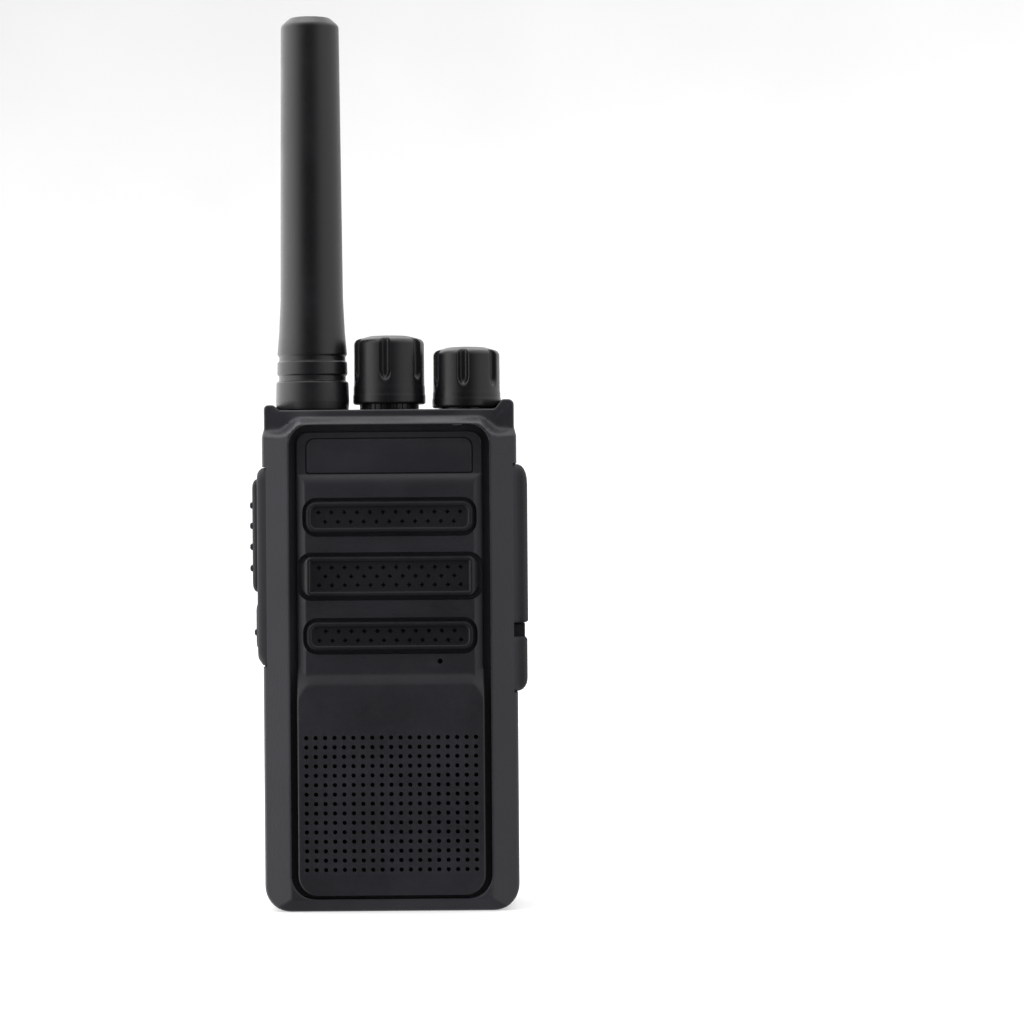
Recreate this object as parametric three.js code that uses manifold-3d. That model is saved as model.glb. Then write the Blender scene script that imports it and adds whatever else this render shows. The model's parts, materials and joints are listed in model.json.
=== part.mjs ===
// Handheld two-way radio: housing, front panel, side keys, knobs, aerial, battery pack and belt clip.
// Millimetres, +Z up. The front looks along -Y, so the aerial and the push-to-talk key are on the -X side
// and the accessory cover is on the +X side. Parts are drawn about the middle of the body's depth; the
// finished radio is then moved so that the origin is a point on the foot of the front housing.
import * as THREE from 'three';
import { mergeVertices } from 'three/addons/utils/BufferGeometryUtils.js';
import Module from 'manifold-3d';

const wasm = await Module();
wasm.setup();

// ---------------------------------------------------------------- driving dimensions
const BODY_WIDTH = 53.1;
const CAP_WIDTH = 52.2; // the top end, above the shoulders, is a little narrower
const BODY_TOP = 105.1;
const FRONT_Y = -16.5;
const BACK_Y = 16.5;
const FOOT_POINT_Y = -8.0; // becomes the origin
const PARTING_Y = 4.0; // front housing meets chassis and battery here
const PARTING_GAP = 0.3;
const WALL = 1.8;
const FOOT_RADIUS = 5.5; // bottom corners seen from the front
const CONTROL_Y = -4.0; // aerial, knobs and side keys are all centred on this plane
const MICROPHONE_X = 10.3;
const MICROPHONE_Z = 52.4;
const COVER_SCREW_Z = 52.0;
const CONTROL_HOLE_RADIUS = 4.7; // holes in the top wall for the aerial and the two shafts

const PANEL_WIDTH = 39.0;
const PANEL_BOTTOM = 2.1;
const PANEL_TOP = 100.4;
const PANEL_GROOVE = 1.35; // dark gap between panel and bezel
const PANEL_BACK_Y = -13.8;
const PANEL_SEAT_Y = -13.7;
const LOGO_ZONE_Y = -15.3;
const BAR_ZONE_Y = -15.9;
const GRILLE_ZONE_Y = -16.7;
const BAR_FRONT_Y = -16.9;

const CAVITY_HALF_WIDTH = BODY_WIDTH / 2 - WALL;
const FRONT_WALL_INNER_Y = -12.7;

const AERIAL_X = -16.2;
const CHANNEL_X = 0;
const VOLUME_X = 16.3;
const AERIAL_TOP = 187.4;

const REAR_BLOCK_BOTTOM = 83.0;
const REAR_BLOCK_BACK_Y = 15.5;
const BATTERY_TOP = 82.5;
const BATTERY_FRONT_Y = PARTING_Y + PARTING_GAP;

const SPEAKER_Z = 22.5;
const SPEAKER_RADIUS = 18;
const SPEAKER_BACK_Y = -5.8;
const GRILLE_ROWS = 15;
const GRILLE_COLUMNS = 19;
const GRILLE_PITCH = 1.96;
const GRILLE_HOLE = 0.84; // side of each square sound hole
const GRILLE_BOTTOM_ROW = 8.8;

const BARS = [
  { name: 'upper_trim_bar', half: 17.4, bottom: 79.8, top: 85.8 },
  { name: 'middle_trim_bar', half: 18.6, bottom: 66.1, top: 74.6 },
  { name: 'lower_trim_bar', half: 17.4, bottom: 54.9, top: 61.0 },
];

// ---------------------------------------------------------------- finishes
const FINISHES = {
  housingPlastic: { color: 0x37373b, roughness: 0.55, metalness: 0 },
  panelPlastic: { color: 0x2a2a2e, roughness: 0.6, metalness: 0 },
  glossBlack: { color: 0x1a1a1c, roughness: 0.25, metalness: 0 },
  knobPlastic: { color: 0x222225, roughness: 0.4, metalness: 0 },
  rubber: { color: 0x333335, roughness: 0.8, metalness: 0 },
  castAluminium: { color: 0x8f9296, roughness: 0.5, metalness: 0.9 },
  steel: { color: 0xb4b6b8, roughness: 0.3, metalness: 1 },
  brass: { color: 0xc9a44f, roughness: 0.3, metalness: 1 },
  circuitBoard: { color: 0x1f4a2c, roughness: 0.5, metalness: 0 },
  felt: { color: 0x161616, roughness: 0.95, metalness: 0 },
  paper: { color: 0x2b2926, roughness: 0.9, metalness: 0 },
  cellWrap: { color: 0x3b5f8c, roughness: 0.4, metalness: 0 },
  clearLens: { color: 0xd8dad6, roughness: 0.15, metalness: 0 },
};

// ---------------------------------------------------------------- solids and booleans
// Shape axes for extrusions: a front outline is drawn in X and Z, a side outline in Y and Z.
const FRONT_AXES = new THREE.Matrix4().makeBasis(
  new THREE.Vector3(1, 0, 0), new THREE.Vector3(0, 0, 1), new THREE.Vector3(0, -1, 0));
const SIDE_AXES = new THREE.Matrix4().makeBasis(
  new THREE.Vector3(0, 1, 0), new THREE.Vector3(0, 0, 1), new THREE.Vector3(1, 0, 0));

function solid(geometry) {
  const bare = geometry.clone();
  bare.deleteAttribute('normal');
  bare.deleteAttribute('uv');
  const merged = mergeVertices(bare, 1e-4);
  const corners = merged.index.array;
  const kept = [];
  for (let i = 0; i < corners.length; i += 3) {
    const [a, b, c] = [corners[i], corners[i + 1], corners[i + 2]];
    if (a !== b && b !== c && c !== a) kept.push(a, b, c);
  }
  return new wasm.Manifold(new wasm.Mesh({
    numProp: 3,
    vertProperties: new Float32Array(merged.attributes.position.array),
    triVerts: new Uint32Array(kept),
  }));
}

function surface(manifold) {
  const mesh = manifold.getMesh();
  const indexed = new THREE.BufferGeometry();
  indexed.setAttribute('position', new THREE.BufferAttribute(new Float32Array(mesh.vertProperties), 3));
  indexed.setIndex(new THREE.BufferAttribute(new Uint32Array(mesh.triVerts), 1));
  const flat = indexed.toNonIndexed();
  flat.computeVertexNormals();
  return flat;
}

function joined(...solids) {
  return solids.reduce((whole, next) => whole.add(next));
}

function cut(whole, ...tools) {
  return tools.reduce((rest, tool) => rest.subtract(tool), whole);
}

function box([x0, x1], [y0, y1], [z0, z1]) {
  const geometry = new THREE.BoxGeometry(x1 - x0, y1 - y0, z1 - z0);
  geometry.translate((x0 + x1) / 2, (y0 + y1) / 2, (z0 + z1) / 2);
  return solid(geometry);
}

function extruded(shape, depth, curveSegments) {
  return new THREE.ExtrudeGeometry(shape, { depth, bevelEnabled: false, curveSegments });
}

// A top outline (X and Y) raised from z0 to z1.
function raised(shape, [z0, z1], curveSegments = 4) {
  const geometry = extruded(shape, z1 - z0, curveSegments);
  geometry.translate(0, 0, z0);
  return solid(geometry);
}

// A front outline (X and Z) running from y0 to y1.
function frontPrism(shape, [y0, y1], curveSegments = 4) {
  const geometry = extruded(shape, y1 - y0, curveSegments);
  geometry.applyMatrix4(FRONT_AXES);
  geometry.translate(0, y1, 0);
  return solid(geometry);
}

// A side outline (Y and Z) running from x0 to x1.
function sidePrism(shape, [x0, x1], curveSegments = 4) {
  const geometry = extruded(shape, x1 - x0, curveSegments);
  geometry.applyMatrix4(SIDE_AXES);
  geometry.translate(x0, 0, 0);
  return solid(geometry);
}

function polygon(points) {
  return new THREE.Shape(points.map(([x, y]) => new THREE.Vector2(x, y)));
}

// Rounded rectangle; the lower and the upper corners have their own radii.
function roundedRectangle([x0, x1], [y0, y1], lowerRadius, upperRadius = lowerRadius) {
  const shape = new THREE.Shape();
  shape.absarc(x1 - lowerRadius, y0 + lowerRadius, lowerRadius, -Math.PI / 2, 0, false);
  shape.absarc(x1 - upperRadius, y1 - upperRadius, upperRadius, 0, Math.PI / 2, false);
  shape.absarc(x0 + upperRadius, y1 - upperRadius, upperRadius, Math.PI / 2, Math.PI, false);
  shape.absarc(x0 + lowerRadius, y0 + lowerRadius, lowerRadius, Math.PI, 1.5 * Math.PI, false);
  return shape;
}

// A solid of revolution about Z from [radius, height] points, outside going up.
function turned(profile, segments = 24) {
  const points = profile.map(([radius, height]) => new THREE.Vector2(radius, height));
  const geometry = new THREE.LatheGeometry(points, segments);
  geometry.rotateX(Math.PI / 2);
  return solid(geometry);
}

function rod(radius, [z0, z1], segments = 20) {
  return turned([[0, z0], [radius, z0], [radius, z1], [0, z1]], segments);
}

function ring(innerRadius, outerRadius, [z0, z1], segments = 20) {
  return turned([
    [innerRadius, z0], [outerRadius, z0], [outerRadius, z1], [innerRadius, z1], [innerRadius, z0],
  ], segments);
}

const QUARTER_TURN = 90;

function alongX(manifold) {
  return manifold.rotate([0, QUARTER_TURN, 0]);
}

// Turns the solid's own +Z towards the front (-Y).
function towardsFront(manifold) {
  return manifold.rotate([QUARTER_TURN, 0, 0]);
}

function piece(name, manifold, finish, place = [0, 0, 0]) {
  const mesh = new THREE.Mesh(surface(manifold), new THREE.MeshStandardMaterial(FINISHES[finish]));
  mesh.name = name;
  mesh.position.set(...place);
  return mesh;
}

function assembly(place, ...pieces) {
  const group = new THREE.Group();
  group.position.set(...place);
  group.add(...pieces);
  return group;
}

// ---------------------------------------------------------------- body outlines
const HALF = BODY_WIDTH / 2;
const CAP_HALF = CAP_WIDTH / 2;
const SHOULDER_Z = 98.8;
const CAP_START_Z = 100.5;
const TOWER_TOP = 107.3;
const LIP_TOP = 106.3;

// Seen from the front: rounded foot corners, a raised tower at the right and a small lip at the left.
function bodyFrontOutline() {
  const shape = new THREE.Shape();
  shape.absarc(HALF - FOOT_RADIUS, FOOT_RADIUS, FOOT_RADIUS, -Math.PI / 2, 0, false);
  const top = [
    [HALF, SHOULDER_Z], [CAP_HALF, CAP_START_Z], [CAP_HALF, TOWER_TOP - 0.7], [CAP_HALF - 0.6, TOWER_TOP],
    [24.7, TOWER_TOP], [24.1, 106.5], [23.4, 105.5], [22.2, BODY_TOP],
    [-24.1, BODY_TOP], [-24.4, LIP_TOP], [0.6 - CAP_HALF, LIP_TOP], [-CAP_HALF, LIP_TOP - 0.6],
    [-CAP_HALF, CAP_START_Z], [-HALF, SHOULDER_Z],
  ];
  top.forEach(([x, z]) => shape.lineTo(x, z));
  shape.absarc(FOOT_RADIUS - HALF, FOOT_RADIUS, FOOT_RADIUS, Math.PI, 1.5 * Math.PI, false);
  return shape;
}

const BEZEL_FLAT_HALF = 21.0;
const BEZEL_ROUND_DEPTH = 6.0;

// Seen from above: the front edges are rounded by a quarter of an ellipse.
function housingTopOutline() {
  const shape = new THREE.Shape();
  const roundWidth = HALF - BEZEL_FLAT_HALF;
  const roundY = FRONT_Y + BEZEL_ROUND_DEPTH;
  shape.moveTo(HALF, PARTING_Y);
  shape.lineTo(-HALF, PARTING_Y);
  const depth = BEZEL_ROUND_DEPTH;
  shape.absellipse(-BEZEL_FLAT_HALF, roundY, roundWidth, depth, Math.PI, 1.5 * Math.PI, false);
  shape.absellipse(BEZEL_FLAT_HALF, roundY, roundWidth, depth, 1.5 * Math.PI, 2 * Math.PI, false);
  return shape;
}

// The bezel's upper edge drops in an S-curve at each shoulder; all above it stands back.
const BEZEL_TOP = 103.1;
const CAP_FRONT_Y = -13.4;

function aboveBezelOutline() {
  const side = [[20.4, BEZEL_TOP], [22.2, 102.6], [23.8, 101.2], [25.2, 99.8], [28, 99.2]];
  const mirrored = side.map(([x, z]) => [-x, z]).reverse();
  return polygon([...mirrored, ...side, [28, 110], [-28, 110]]);
}

// ---------------------------------------------------------------- front housing
const KEY_MODULE = { halfWidth: 5.8, bottom: 51.0, top: 92.6 };
const KEY_WINDOW = { halfWidth: 5.0, bottom: 53.0, top: 91.4 };
const JACK_WINDOW = { halfWidth: 4.6, bottom: 63.4, top: 88.6 };
const LATCH_HALF_WIDTH = 8.0;
const SCREW_X = 19.5;
const SCREW_Z = 7.6;
const SCREW_BOSS_Y = [-1.1, 13.2];

function frontHousing() {
  const outer = raised(housingTopOutline(), [0, 108], 6)
    .intersect(frontPrism(bodyFrontOutline(), [FRONT_Y - 1, PARTING_Y + 1], 5));
  const cavityOutline = polygon([
    [CAVITY_HALF_WIDTH, PARTING_Y + 1], [-CAVITY_HALF_WIDTH, PARTING_Y + 1],
    [-CAVITY_HALF_WIDTH, -10.2], [-22.2, FRONT_WALL_INNER_Y],
    [22.2, FRONT_WALL_INNER_Y], [CAVITY_HALF_WIDTH, -10.2],
  ]);
  const cavityFront = roundedRectangle(
    [-CAVITY_HALF_WIDTH, CAVITY_HALF_WIDTH], [WALL, 98], FOOT_RADIUS - WALL, 1);
  const cavity = raised(cavityOutline, [0, 99]).intersect(frontPrism(cavityFront, [-20, 10]));
  const topCavity = box([-24.3, 24.3], [-11.6, PARTING_Y + 1], [90, BODY_TOP - WALL]);
  const groove = PANEL_GROOVE;
  const seat = frontPrism(roundedRectangle(
    [-PANEL_WIDTH / 2 - groove, PANEL_WIDTH / 2 + groove],
    [PANEL_BOTTOM - groove, PANEL_TOP + groove], 5.5, 4.3), [FRONT_Y - 1, PANEL_SEAT_Y]);
  const soundHole = towardsFront(rod(SPEAKER_RADIUS - 2.4, [0, 6], 28)).translate([0, -11, SPEAKER_Z]);
  const voiceHole = towardsFront(rod(1, [0, 6], 12)).translate([MICROPHONE_X, -11, MICROPHONE_Z]);
  const bosses = [-1, 1].map((side) => cut(
    towardsFront(rod(2.5, [SCREW_BOSS_Y[0], SCREW_BOSS_Y[1]], 16)), towardsFront(rod(1.1, [-2, 6], 10)),
  ).translate([side * SCREW_X, 0, SCREW_Z]));
  const lightHole = box([13.2, 15.2], [-15, -11], [101.0, 101.6]);
  return piece('front_housing', cut(
    joined(cut(outer, cavity, topCavity), ...bosses), seat,
    frontPrism(aboveBezelOutline(), [FRONT_Y - 1, CAP_FRONT_Y]),
    soundHole, voiceHole, lightHole,
    ...[AERIAL_X, CHANNEL_X, VOLUME_X].map(
      (x) => rod(CONTROL_HOLE_RADIUS, [100, 110]).translate([x, CONTROL_Y, 0])),
    sidePrism(roundedRectangle(
      [CONTROL_Y - KEY_WINDOW.halfWidth, CONTROL_Y + KEY_WINDOW.halfWidth],
      [KEY_WINDOW.bottom, KEY_WINDOW.top], 1), [-30, -22]),
    sidePrism(roundedRectangle(
      [CONTROL_Y - JACK_WINDOW.halfWidth, CONTROL_Y + JACK_WINDOW.halfWidth],
      [JACK_WINDOW.bottom, JACK_WINDOW.top], 1), [22, 30]),
    box([-LATCH_HALF_WIDTH - 0.3, LATCH_HALF_WIDTH + 0.3], [-3.5, 5], [-1, WALL + 1]),
  ), 'housingPlastic');
}

// ---------------------------------------------------------------- front panel and its inlays
const NAME_PLATE = { half: 17.2, bottom: 92.4, top: 99.2, radius: 1.8, thickness: 0.6 };
const BAR_CORNER = 2.2;
const BAR_CLEARANCE = 0.6;
const BAR_RIM = 1.3;
const BAR_SEAT_Y = -14.6;

function soundHoles() {
  const holes = [];
  for (let row = 0; row < GRILLE_ROWS; row += 1) {
    for (let column = 0; column < GRILLE_COLUMNS; column += 1) {
      const x = (column - (GRILLE_COLUMNS - 1) / 2) * GRILLE_PITCH;
      const z = GRILLE_BOTTOM_ROW + row * GRILLE_PITCH;
      const reach = GRILLE_HOLE / 2;
      holes.push(box([x - reach, x + reach], [-20, -10], [z - reach, z + reach]));
    }
  }
  return joined(...holes);
}

function frontPanel() {
  const half = PANEL_WIDTH / 2;
  const steps = polygon([
    [PANEL_BACK_Y, PANEL_BOTTOM], [PANEL_BACK_Y, PANEL_TOP], [LOGO_ZONE_Y, PANEL_TOP], [LOGO_ZONE_Y, 92.1],
    [BAR_ZONE_Y, 89.9], [BAR_ZONE_Y, 49.4], [GRILLE_ZONE_Y, 47.5], [GRILLE_ZONE_Y, PANEL_BOTTOM],
  ]);
  const outline = roundedRectangle([-half, half], [PANEL_BOTTOM, PANEL_TOP], 4.2, 2.8);
  const blank = sidePrism(steps, [-half, half]).intersect(frontPrism(outline, [-20, -10], 5));
  const sideBevels = [1, -1].map((side) => raised(polygon(side > 0
    ? [[half + 1, -20], [half + 1, -14.9], [half, -14.9], [half - 1.9, BAR_ZONE_Y], [half - 1.9, -20]]
    : [[-half - 1, -14.9], [-half - 1, -20], [1.9 - half, -20], [1.9 - half, BAR_ZONE_Y], [-half, -14.9]],
  ), [49.4, 89.9]));
  const plateSeat = frontPrism(roundedRectangle(
    [-NAME_PLATE.half - 0.2, NAME_PLATE.half + 0.2],
    [NAME_PLATE.bottom - 0.2, NAME_PLATE.top + 0.2], 0.6, NAME_PLATE.radius), [-20, LOGO_ZONE_Y + 0.8], 3);
  const barSeats = BARS.map((bar) => frontPrism(roundedRectangle(
    [-bar.half - BAR_CLEARANCE, bar.half + BAR_CLEARANCE],
    [bar.bottom - BAR_CLEARANCE, bar.top + BAR_CLEARANCE], BAR_CORNER + BAR_CLEARANCE),
  [-20, BAR_SEAT_Y], 3));
  const voiceHole = towardsFront(rod(0.6, [0, 9], 10)).translate([MICROPHONE_X, -11, MICROPHONE_Z]);
  return piece('front_panel', cut(blank, ...sideBevels, plateSeat, ...barSeats, voiceHole, soundHoles()),
    'panelPlastic');
}

function namePlate() {
  const outline = roundedRectangle(
    [-NAME_PLATE.half, NAME_PLATE.half], [NAME_PLATE.bottom, NAME_PLATE.top], 0.5, NAME_PLATE.radius);
  const back = LOGO_ZONE_Y + 0.7;
  return piece('name_plate', frontPrism(outline, [back - NAME_PLATE.thickness, back], 3), 'glossBlack');
}

function trimBar(bar) {
  const body = frontPrism(roundedRectangle([-bar.half, bar.half], [bar.bottom, bar.top], BAR_CORNER),
    [BAR_FRONT_Y, BAR_SEAT_Y - 0.1], 3);
  const inset = frontPrism(roundedRectangle(
    [BAR_RIM - bar.half, bar.half - BAR_RIM], [bar.bottom + BAR_RIM, bar.top - BAR_RIM], 0.8),
  [-20, BAR_FRONT_Y + 0.5], 3);
  return piece(bar.name, body.subtract(inset), 'panelPlastic');
}

function statusLightPipe() {
  return piece('status_light_pipe', box([13.3, 15.1], [-14.3, -10.2], [101.1, 101.5]), 'clearLens');
}

// ---------------------------------------------------------------- sound parts
function speaker() {
  const basket = turned([
    [8.3, 0], [12, 0], [16.6, 4], [SPEAKER_RADIUS, 4], [SPEAKER_RADIUS, 5.9], [16.4, 5.9], [16.2, 4.9],
    [11.6, 1], [8.3, 1], [8.3, 0],
  ], 28);
  const cone = turned([[0, 2.2], [5, 1.8], [15.9, 5.1], [15.9, 5.6], [5, 2.4], [2.5, 3.2], [0, 3.4]], 24);
  const magnet = rod(7.9, [-2.3, 1.2], 24);
  const felt = rod(17.2, [6.3, 6.6], 28);
  return assembly([0, SPEAKER_BACK_Y, SPEAKER_Z],
    piece('speaker_basket', towardsFront(basket), 'steel'),
    piece('speaker_cone', towardsFront(cone), 'paper'),
    piece('speaker_magnet', towardsFront(magnet), 'castAluminium'),
    piece('speaker_felt', towardsFront(felt), 'felt'));
}

function microphone() {
  const boot = cut(rod(3.9, [0, 3.4], 18), rod(3.2, [-1, 2.7], 18), rod(0.9, [2, 5], 10));
  const capsule = rod(2.9, [-0.4, 2.4], 18);
  return assembly([MICROPHONE_X, -9.1, MICROPHONE_Z],
    piece('microphone_boot', towardsFront(boot), 'rubber'),
    piece('microphone', towardsFront(capsule), 'castAluminium'));
}

// ---------------------------------------------------------------- boards and shields
const BOARD_Y = [-2.2, -1.0];

function electronics() {
  const board = box([-22.4, 22.4], BOARD_Y, [11, 92]);
  const rfShield = cut(
    box([-20, 20], [-0.9, 1.0], [52, 88]),
    box([-19.6, 19.6], [-2, 0.6], [52.4, 87.6]));
  const audioShield = cut(
    box([-17, 15], [-4.8, -2.3], [58, 82]),
    box([-16.6, 14.6], [-4.4, 0], [58.4, 81.6]));
  return [
    piece('main_board', board, 'circuitBoard'),
    piece('rf_shield', rfShield, 'steel'),
    piece('audio_shield', audioShield, 'steel'),
  ];
}

// ---------------------------------------------------------------- chassis and seal
const PLATE_HALF = CAVITY_HALF_WIDTH - 1.1;
const PLATE_HEIGHTS = [2.9, 97.0];
const LUG = { half: 3, offset: 15, y: [12.6, 14.6], height: 1.1 };

function rearBlockTopOutline() {
  const back = REAR_BLOCK_BACK_Y;
  const front = PARTING_Y + PARTING_GAP;
  const radius = 4;
  const shape = new THREE.Shape();
  shape.moveTo(-CAP_HALF, front);
  shape.lineTo(CAP_HALF, front);
  shape.absarc(CAP_HALF - radius, back - radius, radius, 0, Math.PI / 2, false);
  shape.absarc(radius - CAP_HALF, back - radius, radius, Math.PI / 2, Math.PI, false);
  return shape;
}

function chassis() {
  const plate = frontPrism(
    roundedRectangle([-PLATE_HALF, PLATE_HALF], PLATE_HEIGHTS, 2.9, 0.6), [1.4, PARTING_Y]);
  const rearSide = polygon([
    [PARTING_Y, REAR_BLOCK_BOTTOM], [REAR_BLOCK_BACK_Y, REAR_BLOCK_BOTTOM], [REAR_BLOCK_BACK_Y, 100.6],
    [11.5, BODY_TOP], [PARTING_Y, BODY_TOP],
  ]);
  const block = raised(rearBlockTopOutline(), [REAR_BLOCK_BOTTOM, BODY_TOP])
    .intersect(sidePrism(rearSide, [-HALF, HALF]));
  const neck = box([-23, 23], [PARTING_Y - 0.5, PARTING_Y + 1], [86, 98]);
  const hollow = box([-22, 22], [0, 13], [87, 97]);
  const lugPockets = [-1, 1].map((side) => box(
    [side * LUG.offset - LUG.half - 0.5, side * LUG.offset + LUG.half + 0.5],
    [LUG.y[0] - 0.9, REAR_BLOCK_BACK_Y - 0.5],
    [REAR_BLOCK_BOTTOM - 1, REAR_BLOCK_BOTTOM + LUG.height + 0.6]));
  const contactWindow = box([-9, 9], [0, 6], [11.6, 20.4]);
  const screwHoles = [-1, 1].map(
    (side) => towardsFront(rod(1.3, [-6, 6], 12)).translate([side * SCREW_X, 0, SCREW_Z]));
  const body = cut(joined(plate, block, neck), hollow, ...lugPockets, contactWindow, ...screwHoles);
  return piece('chassis', body, 'castAluminium');
}

// The seal runs round the edge of the chassis plate, inside the housing wall.
function housingSeal() {
  const cord = 0.8;
  const [bottom, top] = PLATE_HEIGHTS;
  const inner = PLATE_HALF + 0.1;
  const outline = roundedRectangle(
    [-inner - cord, inner + cord], [bottom - 0.1 - cord, top + 0.1 + cord], 3.8, 1.5);
  const hole = roundedRectangle([-inner, inner], [bottom - 0.1, top + 0.1], 3.0, 0.7);
  const cordRing = frontPrism(outline, [2.2, 3.4]).subtract(frontPrism(hole, [0, 5]));
  return piece('housing_seal', cordRing, 'rubber');
}

function chassisScrews() {
  return [-1, 1].map((side) => {
    const screw = joined(rod(1.9, [0, 0.9], 14), rod(1.0, [-6, 0.2], 10));
    const slot = box([-1.3, 1.3], [-0.25, 0.25], [0.5, 2]);
    const name = side < 0 ? 'chassis_screw_left' : 'chassis_screw_right';
    const facingBack = screw.subtract(slot).rotate([-QUARTER_TURN, 0, 0]);
    return piece(name, facingBack.translate([side * SCREW_X, PARTING_Y + 0.05, SCREW_Z]), 'steel');
  });
}

// ---------------------------------------------------------------- battery contacts on the radio
const CONTACT_XS = [-5.5, 0, 5.5];
const CONTACT_SIDES = ['left', 'middle', 'right'];
const CONTACT_Z = 16;

function radioContacts() {
  const block = box([-8.7, 8.7], [-0.8, 3.4], [11.9, 20.1]);
  const sockets = CONTACT_XS.map(
    (x) => box([x - 1.3, x + 1.3], [1.2, 5], [CONTACT_Z - 2.8, CONTACT_Z + 2.8]));
  const leaf = polygon([
    [1.5, CONTACT_Z - 2.4], [2.0, CONTACT_Z - 2.4], [2.4, CONTACT_Z - 1.6], [4.0, CONTACT_Z],
    [2.4, CONTACT_Z + 1.6], [1.5, CONTACT_Z + 2.4],
  ]);
  const leaves = CONTACT_XS.map((x, i) => piece(
    `radio_contact_${CONTACT_SIDES[i]}`, sidePrism(leaf, [x - 0.8, x + 0.8]), 'brass'));
  return [piece('contact_block', cut(block, ...sockets), 'glossBlack'), ...leaves];
}

// ---------------------------------------------------------------- rotary controls
const SHAFT_RADIUS = 3;
const SHAFT_BOTTOM = 96;

function finger(notchDepth, radius, z0, z1, angle) {
  const width = 2.3;
  return box([radius - notchDepth, radius + 2], [-width / 2, width / 2], [z0, z1]).rotate([0, 0, angle]);
}

// A turning knob: six finger notches run from the crown down to notchBottom.
function knobSolid({ bottom, shoulder, crown, bottomRadius, topRadius, notchBottom }) {
  const skirt = turned([
    [0, bottom], [bottomRadius, bottom], [bottomRadius, bottom + 1.6], [topRadius, shoulder - 0.6],
    [topRadius - 0.9, shoulder], [topRadius * 0.55, crown - 0.25], [0, crown],
  ], 30);
  const notches = [24, 84, 144, 204, 264, 324].map(
    (angle) => finger(1.1, bottomRadius - 0.1, notchBottom, crown + 1, angle));
  const bore = rod(SHAFT_RADIUS + 0.3, [bottom - 1, bottom + 8], 18);
  return cut(skirt, ...notches, bore);
}

function rotaryControl({ x, knobName, shaftName, bodyName, shape, bodyHalf }) {
  const shaft = rod(SHAFT_RADIUS, [SHAFT_BOTTOM, shape.bottom + 7.6], 16);
  const body = cut(
    joined(box([-bodyHalf, bodyHalf], [-5.6, 5.0], [93.2, 101.2]), rod(4.4, [101, 105.8], 18)),
    rod(SHAFT_RADIUS + 0.35, [SHAFT_BOTTOM - 0.3, 110], 16));
  return assembly([x, CONTROL_Y, 0],
    piece(bodyName, body, 'steel'),
    piece(shaftName, shaft, 'brass'),
    piece(knobName, knobSolid(shape), 'knobPlastic'));
}

const CHANNEL_KNOB = {
  bottom: 106.3, shoulder: 119.3, crown: 120.4, bottomRadius: 7.55, topRadius: 7.25, notchBottom: 110.0,
};
const VOLUME_KNOB = {
  bottom: 106.0, shoulder: 116.8, crown: 117.9, bottomRadius: 7.1, topRadius: 6.85, notchBottom: 109.0,
};

function channelCollar() {
  const collar = ring(4.7, 6.2, [BODY_TOP + 0.05, BODY_TOP + 0.9], 24);
  return piece('channel_collar', collar, 'knobPlastic', [CHANNEL_X, CONTROL_Y, 0]);
}

// ---------------------------------------------------------------- aerial
const AERIAL_BOTTOM = BODY_TOP + 0.3;

function aerial() {
  const sheath = turned([
    [0, 181], [1.3, 181], [1.3, 113.4], [2.6, 113.4], [2.6, 108.4], [4.9, 108.4], [4.9, AERIAL_BOTTOM],
    [7.65, AERIAL_BOTTOM], [7.55, 110.5], [7.1, 110.9], [7.1, 111.8], [7.4, 112.1], [7.35, 114.8],
    [7.05, 115.1], [7.05, 115.9], [7.3, 116.3], [6.75, 121], [6.45, 128], [6.35, 145], [6.0, 185.6],
    [5.4, 186.9], [4.2, AERIAL_TOP], [0, AERIAL_TOP],
  ], 26);
  const stud = joined(rod(2.0, [101.6, 108.8], 14), rod(2.3, [108.7, 113.1], 14));
  const socket = ring(2.35, 4.4, [99.5, 107.6], 18);
  return assembly([AERIAL_X, CONTROL_Y, 0],
    piece('aerial_socket', socket, 'brass'),
    piece('aerial_stud', stud, 'brass'),
    piece('aerial_radiator', rod(1.0, [113.5, 180], 10), 'steel'),
    piece('aerial_sheath', sheath, 'rubber'));
}

// ---------------------------------------------------------------- side keys (left)
const CARRIER_OUTER_X = -27.9;
const TALK_KEY = { halfWidth: 3.9, bottom: 66.4, top: 90.3, outerX: -29.0 };
const CALL_KEY = { halfWidth: 3.9, bottom: 54.0, top: 64.6, outerX: -28.3 };
const KEY_GAP = 0.35;
const KEY_INNER_X = -24.0;

function keyOutline(key, grow = 0) {
  return roundedRectangle(
    [CONTROL_Y - key.halfWidth - grow, CONTROL_Y + key.halfWidth + grow],
    [key.bottom - grow, key.top + grow], 1.6 + grow);
}

function sideKeyCarrier() {
  const flangeOutline = roundedRectangle(
    [CONTROL_Y - KEY_MODULE.halfWidth, CONTROL_Y + KEY_MODULE.halfWidth],
    [KEY_MODULE.bottom, KEY_MODULE.top], 2.6);
  const ends = polygon([
    [-HALF - 0.1, 110], [-HALF - 0.1, 40], [-26.9, 51.1], [CARRIER_OUTER_X, 52.6],
    [CARRIER_OUTER_X, 91.4], [-27.1, 92.6],
  ].reverse());
  const flange = sidePrism(flangeOutline, [CARRIER_OUTER_X, -HALF - 0.1])
    .intersect(frontPrism(ends, [-20, 10]));
  const neckGap = 0.3;
  const neck = sidePrism(roundedRectangle(
    [CONTROL_Y - KEY_WINDOW.halfWidth + neckGap, CONTROL_Y + KEY_WINDOW.halfWidth - neckGap],
    [KEY_WINDOW.bottom + neckGap, KEY_WINDOW.top - neckGap], 0.9), [-HALF - 0.6, -24.3]);
  const keyHoles = [TALK_KEY, CALL_KEY].map((key) => sidePrism(keyOutline(key, KEY_GAP), [-35, -20], 3));
  return piece('side_key_carrier', cut(joined(flange, neck), ...keyHoles), 'rubber');
}

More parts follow.
